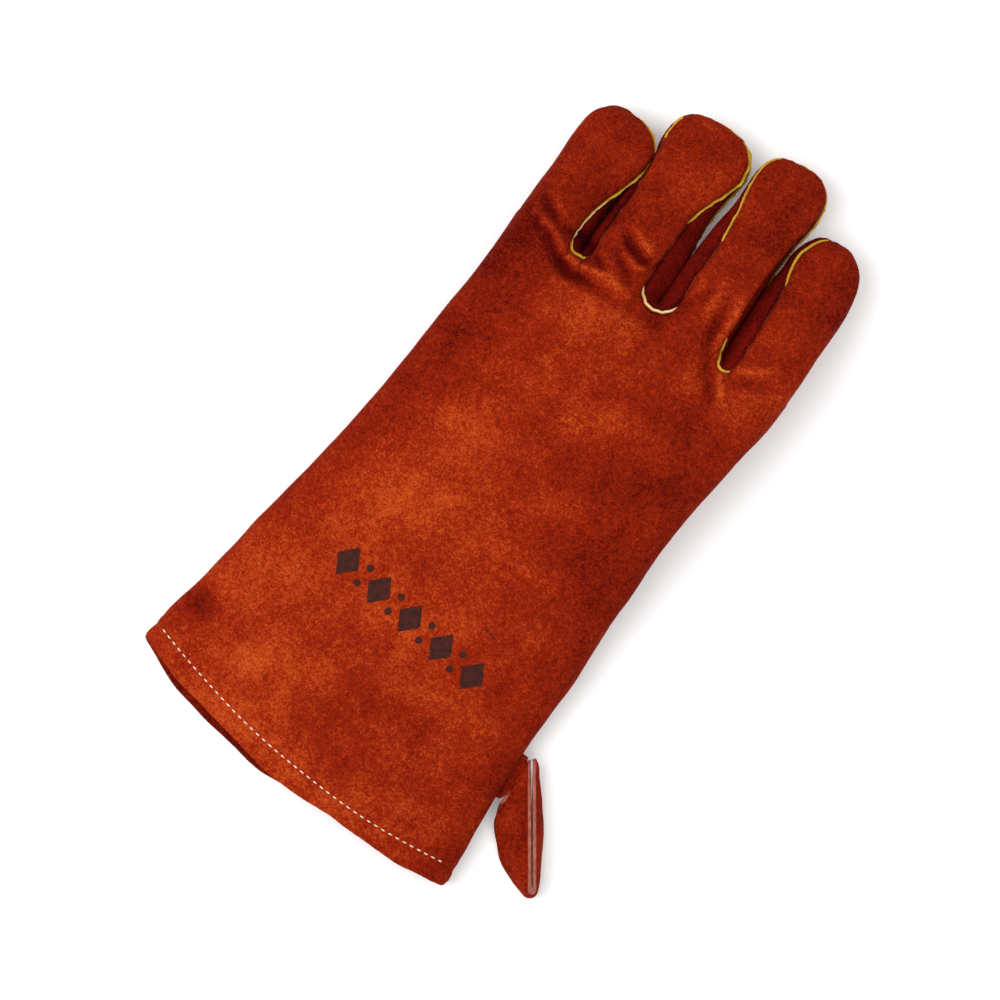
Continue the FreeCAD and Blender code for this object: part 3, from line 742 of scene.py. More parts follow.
def plain(name, low, high, scale, rough, bump_scale, bump):
    """Cloth, thread, paint or cut leather: two mottled colours and a fine bump."""
    made, nodes, links, shader = material(name)
    where = node(nodes, "ShaderNodeTexCoord")
    texture = node(nodes, "ShaderNodeTexNoise", Scale=scale, Detail=4.0, Roughness=0.65)
    fine = node(nodes, "ShaderNodeTexNoise", Scale=bump_scale, Detail=3.0)
    for noise in (texture, fine):
        links.new(where.outputs["Object"], noise.inputs["Vector"])
    colours = ramp(nodes, [(0.3, low), (0.7, high)])
    links.new(texture.outputs["Fac"], colours.inputs["Fac"])
    links.new(colours.outputs["Color"], shader.inputs["Base Color"])
    bumped(nodes, links, shader, fine.outputs["Fac"], bump, 0.0004)
    shader.inputs["Roughness"].default_value = rough
    shader.inputs["Specular IOR Level"].default_value = 0.25
    return made


YELLOW = plain("welt_yellow", srgb(168, 112, 16), srgb(222, 176, 48), 160, 0.7, 900, 0.3)
CREAM = plain("welt_cream", srgb(205, 165, 110), srgb(240, 222, 186), 200, 0.75, 900, 0.3)
RED_WELT = plain("welt_red", srgb(92, 14, 5), srgb(140, 38, 12), 160, 0.85, 900, 0.3)
LINING = plain("lining_cotton", srgb(150, 132, 108), srgb(196, 180, 152), 320, 0.95, 1500, 0.5)
THREAD = plain("thread_white", srgb(205, 186, 158), srgb(244, 236, 220), 900, 0.8, 2400, 0.4)
STAMP = plain("stamp_brown", srgb(34, 10, 6), srgb(72, 22, 12), 420, 0.85, 900, 0.3)
RAW = plain("raw_edge", srgb(128, 58, 46), srgb(176, 104, 84), 300, 0.95, 1200, 0.4)


# ---------------------------------------------------------------- pieces
def new_piece(name, points, faces, materials, slot="leather", face_materials=None, **settings):
    mesh = bpy.data.meshes.new(name)
    mesh.from_pydata([tuple(float(c) * MM for c in p) for p in points], [], [tuple(f) for f in faces])
    for m in materials:
        mesh.materials.append(m)
    if face_materials is not None:
        mesh.polygons.foreach_set("material_index", face_materials)
    mesh.polygons.foreach_set("use_smooth", [True] * len(mesh.polygons))
    mesh.update()
    obj = add_object(name, mesh)
    settle(obj, slot, **settings)
    return obj


def set_tone(mesh, values):
    """The tone of the suede at each point, which its material reads; on the skin it carries painted shade and
    highlight as well as mottling.
    """
    mesh.attributes.new("tone", "FLOAT", "POINT").data.foreach_set("value", np.asarray(values, np.float32))


def settle(obj, slot, ride="hand", replaces=(), bend=None):
    """Attaches a piece to the body it moves with, or only bakes the transform of a piece meant to bend, and
    hides the parts it stands for. slot is not used.
    """
    if bend:
        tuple(BEND[bend][0])
        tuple(BEND[bend][1])
        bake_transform(obj)
    else:
        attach(obj, ride)
    if replaces:
        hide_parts(*replaces)


# where a piece that bends leaves the hand, and where it wholly follows its finger
BEND = {f + "_finger": ((0, (ROOT_Y[f] + 0.6) * MM, KNUCKLE_Z), (0, (max(ROOT_Y[f], 96) + 22) * MM, KNUCKLE_Z))
        for f in FINGERS}
BEND["thumb"] = ((0, 0.0382, 0), (0, 0.054, 0))


# lighter and darker patches of the suede: amount, x and half width, y and half length
PATCHES = [
    (-0.13, -66, 18, -4, 26), (-0.10, -16, 22, -128, 20), (-0.08, 38, 14, 130, 24), (-0.07, 50, 14, -24, 24),
    (-0.30, -92, 8, -128, 8), (0.14, -2, 18, 78, 12), (0.02, -78, 16, -112, 22),
]
# painted shade along the glove, darker towards the fingers: y, tone
TONE_BY_Y = [
    (-180, 0.55), (-120, 0.56), (-60, 0.54), (0, 0.52), (60, 0.48), (100, 0.42), (130, 0.37), (180, 0.40),
]
# painted shade: the suede is painted darker along the seams and on the far layer that shows under the hem's lip
SEAM_PAINTED_SHADE, LIP_PAINTED_SHADE = 0.26, 0.34        # how much darker the suede is along seams and on the far lip


def tone_at(co):
    """Base tone of the suede, from 0 dark to 1 light: random mottling and patches, painted shade towards the
    fingers, along the edges and in crease valleys, and painted highlight on crease ridges.
    """
    x, y = co[:, 0], co[:, 1]
    flat = co * np.array([1, 1, 0])
    tone = np.interp(y, *zip(*TONE_BY_Y))
    for amount, wavelength, seed in ((0.05, 95, 21), (0.05, 34, 22), (0.03, 13, 23)):
        tone += amount * waves(flat, wavelength, seed)
    for amount, x0, wide, y0, long in PATCHES:
        tone += amount * np.exp(-(((x - x0) / wide) ** 2 + ((y - y0) / long) ** 2))
    # painted shade along the edges: darker beside the little finger's side, the thumb's side and the cuff's
    # right side
    tone -= 0.16 * bell(x, -56, 17) * np.clip((70 - np.abs(y - 45)) / 40, 0, 1)
    tone -= 0.14 * bell(x, 62, 24) * np.clip((70 - np.abs(y - 10)) / 50, 0, 1)
    tone -= 0.15 * bell(x, 66, 16) * np.clip((-20 - y) / 40, 0, 1)
    # painted highlight on the narrow crease ridges and painted shade in their valleys
    for line, height, width in FOLDS:
        if height > 0 and width < 4:
            tone += 0.20 * height * fold(co, line, 1.0, width * 0.8)
        elif width < 4:
            tone -= 0.22 * abs(height) * fold(co, line, 1.0, width)
    return tone


def part_of_master(name, tag, surface, **settings):
    """A piece of the skin with the smooth normals of the whole."""
    polygons = [p for p in master.data.polygons if tags_face[p.index] == T[tag]]
    used = sorted({v for p in polygons for v in p.vertices})
    number = {v: k for k, v in enumerate(used)}
    points = [tuple(master.data.vertices[v].co) for v in used]
    mesh = bpy.data.meshes.new(name)
    mesh.from_pydata(points, [], [[number[v] for v in p.vertices] for p in polygons])
    mesh.materials.append(surface)
    mesh.polygons.foreach_set("use_smooth", [True] * len(mesh.polygons))
    mesh.normals_split_custom_set_from_vertices([tuple(master_normals[v]) for v in used])
    # painted shade along the seams and on the far layer under the hem's lip
    shade = tone_at(final[used]) - SEAM_PAINTED_SHADE * bell(near_seam[used], 0, 1.7)
    set_tone(mesh, shade - LIP_PAINTED_SHADE * (under * edge_pull * peek)[used])
    settle(add_object(name, mesh), "leather", **settings)


for name_, tag_, surface_, node_ in (
        ("Back_panel", "hand_back", LEATHER, "back_panel"), ("Palm_panel", "hand_palm", LEATHER, "palm_panel"),
        ("Cuff_front_panel", "cuff_front", LEATHER, "cuff_front_panel"),
        ("Cuff_turned_hem", "hem_inside", LEATHER, "cuff_hem"),
        ("Crotch_gussets", "crotch", WALL_SUEDE_PAINTED_SHADE, "crotch_gussets")):
    part_of_master(name_, tag_, surface_, replaces=[node_])
for f_ in FINGERS:
    body = f_ + "_finger"
    for label in ("back", "front"):
        part_of_master(body.capitalize() + "_" + label, f_ + "_" + label, LEATHER, bend=body,
                       replaces=[body + "_" + label])
    walls_ = {"little": ["right"], "index": ["left"]}.get(f_, ["right", "left"])
    for side_ in walls_:
        part_of_master(body.capitalize() + "_fourchette_" + side_, f_ + "_wall_" + side_, WALL_SUEDE_PAINTED_SHADE, bend=body,
                       replaces=[body + "_fourchette" + ("_" + side_ if len(walls_) == 2 else "")])


SUNK = 0.4             # how deep the foot of a strip lies below its line
SIDES = 10             # points round a welt
RED_WELT_SIZE = (1.5, 1.2)        # across the seam, and proud of it


def sweep(points, ways, thick, proud, sides=SIDES, closed=False):
    """A flat strip on edge along a line: thick across the seam, standing proud of it. Returns points, faces."""
    made = []
    n = len(points)
    for k in range(n):
        before, after = ((k - 1) % n, (k + 1) % n) if closed else (max(k - 1, 0), min(k + 1, n - 1))
        along = points[after] - points[before]
        along /= max(1e-9, np.linalg.norm(along))
        out = ways[k] - along * (ways[k] @ along)
        out /= max(1e-9, np.linalg.norm(out))
        across = np.cross(along, out)
        scale = 1.0 if closed else min(1.0, 0.25 + 0.4 * min(k, n - 1 - k))     # it thins out at its ends
        for j in range(sides):
            angle = 2 * math.pi * j / sides
            made.append(points[k] + out * ((proud - SUNK) / 2 + (proud + SUNK) / 2 * math.cos(angle)) * scale
                        + across * (math.sin(angle) * thick / 2) * scale)
    faces = grid_quads(n, sides, closed=True)
    last = (n - 1) * sides
    if closed:
        faces += [(last + j, last + (j + 1) % sides, (j + 1) % sides, j) for j in range(sides)]
    else:
        faces += [tuple(range(sides))[::-1], tuple(last + j for j in range(sides))]
    return made, faces


def resample_ways(points, ways, step):
    line = resampled(points, step)
    length = run_lengths(points)
    at = np.linspace(0, length[-1], len(line))
    return line, unit(np.array([np.interp(at, length, ways[:, k]) for k in range(3)]).T)


# stretches of the back's seams where the welt stands out: seam, x from, x to, y from, y to, how far
SHOWN = [
    ("little", -70, -50, 90, 150, 1.0), ("little", -41, -10, 90, 162, 1.0),
    ("crotch0", -60, -25.5, 80, 120, 1.0),
    ("ring", 2, 30, 134, 177, 1.0), ("ring", -30, 2, 159, 173, 0.5), ("crotch1", 0, 30, 80, 120, 1.0),
    ("middle", 10, 38, 133, 179, 0.7), ("crotch2", 40, 57, 70, 120, 1.0), ("index", 50, 71, 132, 158, 1.0),
    ("index", 84, 99, 119, 143, 1.0), ("index", 50, 57, 80, 92, 0.6),
]


def shown(key, p):
    """How far the welt stands out of a seam: 0 is buried, 1 is fully in view."""
    if key[1] == "palm":
        return 1.0
    return max([far for seam, x0, x1, y0, y1, far in SHOWN
                if seam == key[0] and x0 < p[0] < x1 and y0 < p[1] < y1], default=0.0)


def welt_piece(name, keys, thick, proud, replaces, bend=None):
    """Yellow welts; their raw rim is cream in places, and where they are buried they are stained red."""
    points, faces, chosen = [], [], []
    for key in keys:
        line, ways = resample_ways(*SEAMS[key], 1.1)
        line = with_skin(line) + ways * 0.3
        show = np.array([shown(key, p) for p in line])
        show = np.convolve(np.pad(show, 2, mode="edge"), np.ones(5) / 5, mode="valid")
        wobble = waves(line, 9, 31) * 0.12 - (1 - show) * 1.15
        made, new_faces = sweep(line + ways * wobble[:, None], ways, thick, proud)
        append_part(points, faces, made, new_faces)
        for f in new_faces:
            p, rim = made[f[0]], f[0] % SIDES in (0, SIDES - 1)
            pale = key[0] == "crotch1" or (key[0] == "little" and (138 < p[1] < 158 or 100 < p[1] < 122))
            chosen.append(2 if show[f[0] // SIDES] < 0.4 else 1 if rim and pale and key[1] == "back" else 0)
    new_piece(name, points, faces, [YELLOW, CREAM, RED_WELT], slot="welt", replaces=replaces, bend=bend,
              face_materials=chosen)


for f_ in FINGERS:
    body = f_ + "_finger"
    welt_piece(body.capitalize() + "_welts", [(f_, "back"), (f_, "palm")], 1.25, 1.2, [body + "_welts"],
               bend=body)
welt_piece("Crotch_welts", [("crotch%d" % k, s) for k in range(3) for s in ("back", "palm")], 1.5, 1.25,
           ["crotch_welts"])

side_points, side_faces = [], []
for side_, (line_, ways_) in SIDE_SEAMS.items():
    line_, ways_ = resample_ways(line_, ways_, 1.6)
    append_part(side_points, side_faces, *sweep(with_skin(line_) + ways_ * 0.1, ways_, *RED_WELT_SIZE))
new_piece("Side_seam_welts", side_points, side_faces, [RED_WELT], slot="welt", replaces=["side_seam_welts"])


def skin_hit(x, y, from_above=True):
    """The point of the sculpted skin above or below a place, and its normal, in millimetres."""
    start = Vector((x * MM, y * MM, 0.2 if from_above else -0.2))
    place, normal, _, _ = skin_tree.ray_cast(start, Vector((0, 0, -1 if from_above else 1)))
    return (np.array(place) * UNIT, np.array(normal)) if place else (None, None)


wrist_row = shaped_hand_row(HAND_T[int(WRIST_T * N_HAND)])[LOW_START:LOW_START + COLUMNS + 1]
line_, ways_ = resample_ways(wrist_row, np.tile([0.0, 0.0, -1.0], (len(wrist_row), 1)), 1.6)
made_, faces_ = sweep(with_skin(line_), ways_, *RED_WELT_SIZE)
new_piece("Wrist_seam_welt", made_, faces_, [RED_WELT], slot="welt", replaces=["wrist_seam_welt"])


# ---------------------------------------------------------------- hem stitching
STITCH_PITCH, STITCH_LONG, STITCH_FIRST = 15, 10, 3       # in steps of STITCH_GRID mm along the line
STITCH_GRID = 0.25


def stitches():
    """Short white stitches round the cuff, above and below, each dipping into the leather at its ends."""
    points, faces = [], []
    row = shaped_hand_row(0.0)
    inset = row + unit(shaped_hand_row(0.02) - row) * STITCH_INSET
    for above, first in ((True, 0), (False, LOW_START)):
        line = resampled(inset[first:first + COLUMNS + 1], STITCH_GRID)
        up_way = np.array([0, 0, 1.0 if above else -1.0])
        for k in range(STITCH_FIRST, len(line) - STITCH_LONG, STITCH_PITCH):
            hits = [skin_hit(*line[k + m][:2], above)[0] for m in range(STITCH_LONG + 1)]
            if any(hit is None for hit in hits):
                continue
            lifts = [0.30 - 0.75 * abs(2 * m / STITCH_LONG - 1) ** 4 for m in range(STITCH_LONG + 1)]
            place = np.array([hit + up_way * lift for hit, lift in zip(hits, lifts)])
            place += np.array([0, 0.15 * math.sin(k * 1.7), 0])
            if not above:
                place[:, 2] = np.maximum(place[:, 2], 0.45)
            ways = np.tile(up_way, (len(place), 1))
            append_part(points, faces, *sweep(place[::2], ways[::2], 0.68, 0.3, sides=8))
    return points, faces


points_, faces_ = stitches()
new_piece("Hem_stitching", points_, faces_, [THREAD], slot="thread", replaces=["hem_stitching"])


# ---------------------------------------------------------------- ornament stamped on the cuff
STAMP_PITCH = 19.0
LOZENGE = (6.2, 8.2)               # half width and half height
DOT, DOT_OFF, DOT_SIDES = 1.7, 4.4, 11     # radius, distance from the band's middle line, corners
PAINT = 0.12                       # how far the print stands off the skin
SCUFF_STEPS = 8


def stamp():
    """A band of lozenges and dots printed across the cuff."""
    points, faces = [], []
    centre, turn = np.array([-7.0, -84.5]), math.radians(-12)
    along, across = np.array([math.cos(turn), math.sin(turn)]), np.array([-math.sin(turn), math.cos(turn)])

    def on_skin(q):
        hit, way = skin_hit(*(centre + along * q[0] + across * q[1]))
        return hit + way * PAINT

    def polygon(corners, rings=5):
        """Fills a convex outline with rings of quads laid on the skin."""
        closed = [(x, y, 0) for x, y in [*corners, corners[0]]]
        outline = resampled(closed, 0.9)[:-1, :2]
        middle = outline.mean(axis=0)
        base, n = len(points), len(outline)
        points.extend(on_skin(middle + (p - middle) * (1 - r / rings)) for r in range(rings) for p in outline)
        points.append(on_skin(middle))
        faces.extend(grid_quads(rings, n, base, closed=True))
        last = base + (rings - 1) * n
        faces.extend((last + k, last + (k + 1) % n, base + rings * n) for k in range(n))

    for k in range(-2, 3):
        x = k * STAMP_PITCH
        polygon([(x - LOZENGE[0], 0), (x, LOZENGE[1]), (x + LOZENGE[0], 0), (x, -LOZENGE[1])])
    for k in range(-2, 2):
        x = (k + 0.5) * STAMP_PITCH
        for y in (DOT_OFF, -DOT_OFF):
            turns = np.linspace(0, 2 * math.pi, DOT_SIDES + 1)[:-1]
            polygon([(x + DOT * math.cos(a), y + DOT * math.sin(a)) for a in turns], rings=2)
    return points, faces


def scuff():
    """A thin dark scratch below the wrist."""
    points = []
    for k in range(SCUFF_STEPS + 1):
        x, y = 22.5 + 9.5 * k / SCUFF_STEPS, -70.8 - 2.4 * (k / SCUFF_STEPS) ** 1.5
        for side in (-1, 1):
            hit, way = skin_hit(x, y + side * 0.28 * math.sin(math.pi * (k + 0.5) / (SCUFF_STEPS + 1)))
            points.append(hit + way * 0.1)
    return points, [(2 * k, 2 * k + 2, 2 * k + 3, 2 * k + 1) for k in range(SCUFF_STEPS)]


points_, faces_ = scuff()
new_piece("Scuff_mark", points_, faces_, [STAMP])
points_, faces_ = stamp()
new_piece("Stamped_ornament", points_, faces_, [STAMP])

# ---------------------------------------------------------------- thumb, folded under the palm
# rows of the thumb: y, left, right, top
THUMB = [(8, 35, 70, 14.6), (28, 36, 71, 15.2), (50, 38, 72.5, 15.0), (72, 41, 74, 13.2)]
THUMB_TIP, THUMB_REAR, THUMB_ROOT = 95.5, -7.0, 38.0
BEHIND, BEYOND = -8, 96           # ends of a stretch that takes in the thumb's rear end, or its tip
THUMB_SIDES, HALF = 40, 20
THUMB_SQUARE = 2.4


def thumb_ring(y, inset=0.0):
    left, right_, high = curve(THUMB, y)
    share = 1.0
    for start, end in ((72, THUMB_TIP), (8, THUMB_REAR)):
        if (y - start) * (end - start) > 0:
            share = (1 - min(0.998, (y - start) / (end - start)) ** THUMB_SQUARE) ** (1 / THUMB_SQUARE)
    ring = []
    half, tall = max(0.2, (right_ - left) / 2 * share - inset), max(0.2, (high - 0.6) / 2 * share - inset)
    for k in range(THUMB_SIDES):
        a = 2 * math.pi * k / THUMB_SIDES
        ring.append(((left + right_) / 2 + half * power(math.cos(a), ROUND), y,
                     0.5 + (high - 0.6) / 2 + tall * power(math.sin(a), ROUND)))
    return np.array(ring)


def thumb_rows(start, end):
    ys = [THUMB_REAR + 0.1, -6.6, -5.5, -3.5, -1, 2, 5] + list(np.linspace(8, 72, 33)) + [
        76, 80, 84, 87, 90, 92.3, 94, 95, 95.4]
    ys = [y for y in ys if start < y < end]
    if start > THUMB_REAR:
        ys = [start] + ys
    if end < THUMB_TIP:
        ys = ys + [end]
    return ys


def thumb_part(name, start, end, lower, replaces, bend=None):
    """Half of the thumb's skin: lower is the side that lies on the ground."""
    grid = [thumb_ring(y) for y in thumb_rows(start, end)]
    columns = range(HALF, THUMB_SIDES + 1) if lower else range(HALF + 1)
    points = []
    for ring in grid:
        for c in columns:
            p = ring[c % THUMB_SIDES]
            way = (p - ring.mean(axis=0)) * (1, 0, 1)
            way /= max(1e-6, np.linalg.norm(way))
            seam = min(abs(c - HALF), abs(c - THUMB_SIDES), c)
            bump = 0.35 * waves(p[None], 24, 41)[0] + 0.2 * waves(p[None], 9, 42)[0]
            bump -= 0.5 * math.exp(-seam ** 2)
            q = p + way * bump
            points.append((q[0], q[1], max(0.15, q[2])))
    faces = [reversed_face(quad) for quad in grid_quads(len(grid), len(columns))]
    obj = new_piece(name, points, faces, [LEATHER], replaces=replaces, bend=bend)
    set_tone(obj.data, tone_at(np.array(points)) - 0.02)


for lower_, label in ((True, "base_outer"), (False, "base_inner")):
    thumb_part("Thumb_" + label, BEHIND, THUMB_ROOT, lower_, ["thumb_" + label])
for lower_, label in ((True, "back"), (False, "front")):
    thumb_part("Thumb_" + label, THUMB_ROOT, BEYOND, lower_, ["thumb_" + label], bend="thumb")


def thumb_welt(name, start, end, replaces, bend=None):
    """The seam round one part of the thumb: along one side, round the closed end and back along the other."""
    ys = thumb_rows(start, end)
    if end < THUMB_TIP:
        ys = ys[::-1]
    sides = [np.array([thumb_ring(y)[column] for y in ys]) for column in (0, HALF)]
    line = np.vstack([sides[0], sides[1][::-1]])
    turn = len(ys)
    ways = np.repeat([[1.0, 0, 0], [-1.0, 0, 0]], turn, axis=0)
    round_end = np.array([0, -1.0 if end < THUMB_TIP else 1.0, 0])
    for k in range(1, 5):
        for near in (turn - k, turn - 1 + k):
            ways[near] = ways[near] * (k / 5) + round_end
    line, ways = resample_ways(line, unit(ways), 1.2)
    made, faces = sweep(line - ways * 0.2, ways, 1.5, 1.4)
    new_piece(name, made, faces, [YELLOW], slot="welt", replaces=replaces, bend=bend)


thumb_welt("Thumb_base_welt", BEHIND, THUMB_ROOT, ["thumb_base_seam_welt"])
thumb_welt("Thumb_welt", THUMB_ROOT, BEYOND, ["thumb_welt"], bend="thumb")

# the collar between palm and thumb, and the welt round its hole in the palm
HOLE, HOLE_HALF, HOLE_SIDES, COLLAR_LEVELS = (52.5, 18.5), (17.6, 16.0), 64, 4
COLLAR_LOW = 13.2
hole = []
for k_ in range(HOLE_SIDES):
    a_ = 2 * math.pi * k_ / HOLE_SIDES
    hole.append((HOLE[0] + HOLE_HALF[0] * power(math.cos(a_), 0.7),
                 HOLE[1] + HOLE_HALF[1] * power(math.sin(a_), 0.7)))
heights = [skin_hit(x_, y_, False)[0][2] for x_, y_ in hole]
collar_points = []
for level in range(COLLAR_LEVELS + 1):
    share_ = level / COLLAR_LEVELS
    waist = 1 - 0.03 * math.sin(math.pi * share_)
    collar_points += [(HOLE[0] + (x_ - HOLE[0]) * waist, HOLE[1] + (y_ - HOLE[1]) * waist,
                       COLLAR_LOW + (z_ + 0.4 - COLLAR_LOW) * share_) for (x_, y_), z_ in zip(hole, heights)]
collar_faces = grid_quads(COLLAR_LEVELS + 1, HOLE_SIDES, closed=True)
collar = new_piece("Thumb_collar", collar_points, collar_faces, [LEATHER])
set_tone(collar.data, [0.38] * len(collar_points))
ring_ways = unit(np.array([(x_ - HOLE[0], y_ - HOLE[1], -14.0) for x_, y_ in hole]))
made_, faces_ = sweep(np.column_stack([hole, heights]), ring_ways, 1.5, 1.5, closed=True)
new_piece("Thumb_hole_welt", made_, faces_, [YELLOW], slot="welt", replaces=["thumb_hole_welt"])


# ---------------------------------------------------------------- linings
LINING_IN = {"hand": 4.0, "finger": 3.2, "thumb": 2.6}       # inset from the skin


def tube(name, grid, replaces, bend=None, close=False):
    rows, cols = len(grid), len(grid[0])
    faces = grid_quads(rows, cols, closed=True)
    if close:
        faces.append(tuple((rows - 1) * cols + c for c in range(cols)))
    new_piece(name, np.concatenate(grid), faces, [LINING], slot="lining", replaces=replaces, bend=bend)


def hand_lining(start, end, count):
    return [hand_row(t, LINING_IN["hand"])[::2] for t in np.linspace(start, end, count)]


def thumb_lining(start, end):
    return [thumb_ring(y, LINING_IN["thumb"]) for y in thumb_rows(start, end)]


tube("Cuff_lining", hand_lining(0.047, WRIST_T, 40), ["cuff_lining"])
tube("Hand_lining", hand_lining(WRIST_T + 0.002, 0.90, 34), ["hand_lining"], close=True)
for f_ in FINGERS:
    body = f_ + "_finger"
    rings_ = [finger_ring(f_, y, LINING_IN["finger"])[::2] for y in finger_ys(f_)[1:-3]]
    tube(body.capitalize() + "_lining", rings_, [body + "_lining"], bend=body, close=True)
tube("Thumb_base_lining", thumb_lining(BEHIND, THUMB_ROOT)[3:], ["thumb_base_lining"])
tube("Thumb_lining", thumb_lining(THUMB_ROOT, BEYOND)[:-3], ["thumb_lining"], bend="thumb", close=True)

# ---------------------------------------------------------------- hanging loop
flap = JOINTS["hang_loop_flap"]
ROOT = np.array(flap["pos_m"]) * UNIT
# middle of the strip from one sewn end to the other: its upper edge and its lower edge
LOOP = [
    ((72.6, -112.0, 10.2), (72.0, -133.6, 8.2)), ((74.8, -116.2, 11.4), (71.9, -138.6, 5.6)),
    ((78.3, -122.0, 12.9), (74.2, -145.6, 2.8)), ((83.9, -131.2, 14.6), (80.0, -152.9, 1.6)),
    ((90.8, -142.7, 15.2), (85.6, -158.8, 1.4)), ((97.6, -154.1, 14.8), (93.4, -162.8, 1.4)),
    ((101.6, -160.8, 13.8), (99.6, -165.0, 1.6)), ((103.6, -163.2, 13.4), (103.6, -166.2, 1.8)),
    ((104.7, -162.6, 13.4), (106.0, -164.2, 1.8)), ((103.9, -159.9, 13.9), (105.6, -160.4, 1.7)),
    ((99.6, -152.9, 14.8), (102.9, -154.4, 1.4)), ((92.8, -141.5, 15.2), (98.6, -145.2, 1.4)),
    ((85.9, -130.0, 14.6), (89.4, -129.8, 2.0)), ((80.2, -120.6, 12.9), (82.6, -119.6, 4.4)),
    ((76.2, -113.9, 11.4), (77.4, -113.2, 7.2)), ((73.6, -110.9, 10.4), (73.8, -110.9, 9.0)),
]
SLOT_START, SLOT_END = np.array([73.9, -112.5]), np.array([103.6, -161.6])   # the slot between its two legs
LOOP_COLUMNS, LOOP_LEVELS, LOOP_THICK = 84, 10, 1.5
LOOP_BEND = LOOP_COLUMNS * 7.4 / 15       # the column at the far bend


def loop_sheet():
    """The strip: out along one side, round the bend, back along the other."""
    columns, levels = LOOP_COLUMNS, LOOP_LEVELS
    rows = np.array([(k, *top, *low) for k, (top, low) in enumerate(LOOP)], float)
    slot = (SLOT_END - SLOT_START) / np.linalg.norm(SLOT_END - SLOT_START)
    normal = np.array([-slot[1], slot[0]])
    grid = []
    for v in range(levels + 1):
        share = v / levels
        row = []
        for c in range(columns + 1):
            at = curve(rows, (len(LOOP) - 1) * c / columns)
            p = at[3:] * (1 - share) + at[:3] * share
            near = curve(rows, (len(LOOP) - 1) * min(columns, c + 1) / columns)[:3]
            far = curve(rows, (len(LOOP) - 1) * max(0, c - 1) / columns)[:3]
            out = np.cross(near - far, at[:3] - at[3:])
            out /= np.linalg.norm(out)
            bow = 0.7 * math.sin(math.pi * share) * min(1.0, c / 10, (columns - c) / 10)
            ripple = 0.35 * waves(p[None], 22, 61)[0] + 0.15 * waves(p[None], 8, 62)[0]
            # high up the two legs lean against each other, a little open at the very top
            gap = float((p[:2] - SLOT_START) @ normal)
            held = min(1.0, max(0.0, (share - 0.4) / 0.35)) ** 2
            held *= min(1.0, c / 14, (columns - c) / 14, abs(c - LOOP_BEND) / 9)
            wanted = math.copysign(0.8 + 0.35 * max(0.0, share - 0.8) / 0.2, gap)
            p = p + out * (bow + ripple * min(1.0, c / 6)) * (1 - held)
            p[:2] += normal * (wanted - gap) * held
            row.append((p[0], p[1], max(p[2], 0.95)))
        grid.append(row)
    grid = np.array(grid)
    ways = unit(np.cross(np.gradient(grid, axis=1), np.gradient(grid, axis=0)))
    points = [tuple(p) for layer in (-1, 1) for p in (grid + ways * LOOP_THICK / 2 * layer).reshape(-1, 3)]
    flat, rim = shell_faces(levels + 1, columns + 1)
    mid = grid[levels // 2]
    length = float(np.linalg.norm(np.diff(mid, axis=0), axis=1).sum())
    cells = np.linalg.norm(np.cross(grid[:-1, 1:] - grid[:-1, :-1], grid[1:, :-1] - grid[:-1, :-1]), axis=2)
    width = float(cells.sum()) / length
    return points, flat + rim, [0] * len(flat) + [1] * len(rim), length, width


points_, faces_, chosen_, loop_long, loop_wide = loop_sheet()
loop_piece = new_piece("Hang_loop", points_, faces_, [LEATHER, RAW], ride="hang_loop", replaces=["hang_loop"],
                       face_materials=chosen_)
set_tone(loop_piece.data, 0.42 + 0.06 * waves(np.array(points_), 16, 63))
print("loop strip", round(loop_wide, 1), round(loop_long, 1))

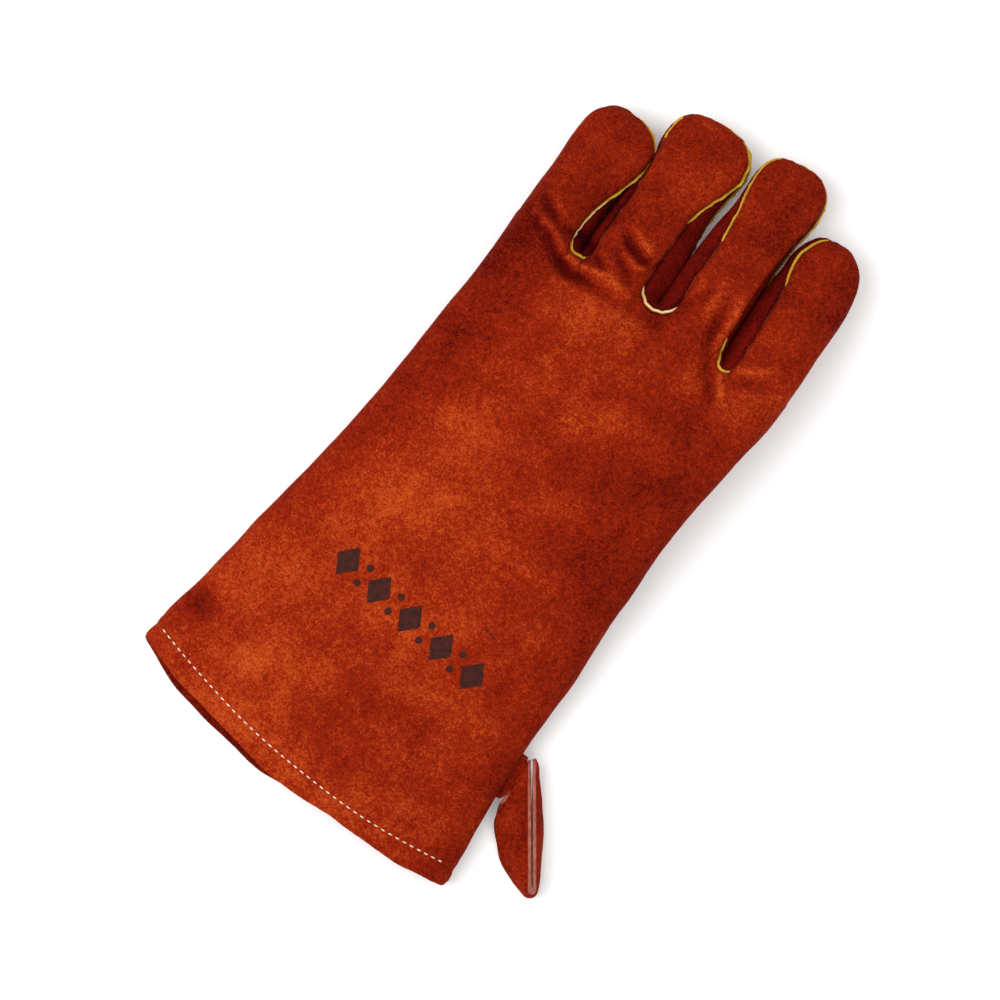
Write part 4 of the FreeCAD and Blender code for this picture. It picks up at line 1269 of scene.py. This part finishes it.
# the sewn root: a thin tab in the seam, a little narrower and thinner at its outer end
TAB_ROWS, TAB_COLS, TAB_LONG = 13, 7, 23
seam_way = np.array([-flap["axis"][0], -flap["axis"][1], 0.0])
seam_out = np.array([seam_way[1], -seam_way[0], 0.0])
tab_points = []
for layer in (-1, 1):
    for u in range(TAB_ROWS):
        along = u / (TAB_ROWS - 1) - 0.5
        for v in range(TAB_COLS):
            outward_ = v / (TAB_COLS - 1)
            p = ROOT + seam_way * (along * TAB_LONG - 1.1) + seam_out * (
                -6.2 + (5.6 - 2.2 * abs(2 * along) ** 3) * outward_)
            rise = layer * (1.0 - 0.3 * outward_) + 1.1 * along + 0.1 * math.sin(u)
            tab_points.append(tuple(p + np.array([0, 0, rise])))
tab_faces = [reversed_face(f) for part in shell_faces(TAB_ROWS, TAB_COLS) for f in part]
tab = new_piece("Hang_loop_root", tab_points, tab_faces, [LEATHER], replaces=["hang_loop_root"])
set_tone(tab.data, [0.34] * len(tab_points))

bpy.data.objects.remove(master)

# ---------------------------------------------------------------- stage and light
FLOOR_HALF, FLOOR_Z = 3, -0.0002
floor_mesh = bpy.data.meshes.new("floor")
corners_ = [(x_ * FLOOR_HALF, y_ * FLOOR_HALF, FLOOR_Z) for x_, y_ in ((-1, -1), (1, -1), (1, 1), (-1, 1))]
floor_mesh.from_pydata(corners_, [], [(0, 1, 2, 3)])
floor = add_object("floor", floor_mesh)
fm = bpy.data.materials.new("floor")
fm.use_nodes = True
floor_shader = fm.node_tree.nodes["Principled BSDF"]
for key_, value_ in (("Base Color", (0.92, 0.92, 0.92, 1)), ("Emission Color", (1, 1, 1, 1)),
                     ("Emission Strength", 0.12)):
    floor_shader.inputs[key_].default_value = value_
floor_mesh.materials.append(fm)


def area_light(name, location, size, power_):
    data = bpy.data.lights.new(name, "AREA")
    data.shape = "SQUARE"
    data.size, data.energy = size, power_
    light = add_object(name, data)
    light.location = location
    light.rotation_euler = (-Vector(location)).to_track_quat("-Z", "Y").to_euler()


area_light("key", (-0.9, -0.4, 1.6), 1.5, 24)
area_light("fill", (1.0, 0.8, 1.6), 1.6, 7)
world = bpy.data.worlds.new("World")
bpy.context.scene.world = world
world.use_nodes = True
world.node_tree.nodes["Background"].inputs[0].default_value = (1, 1, 1, 1)
world.node_tree.nodes["Background"].inputs[1].default_value = 0.75

bpy.context.scene.view_settings.view_transform = "Standard"
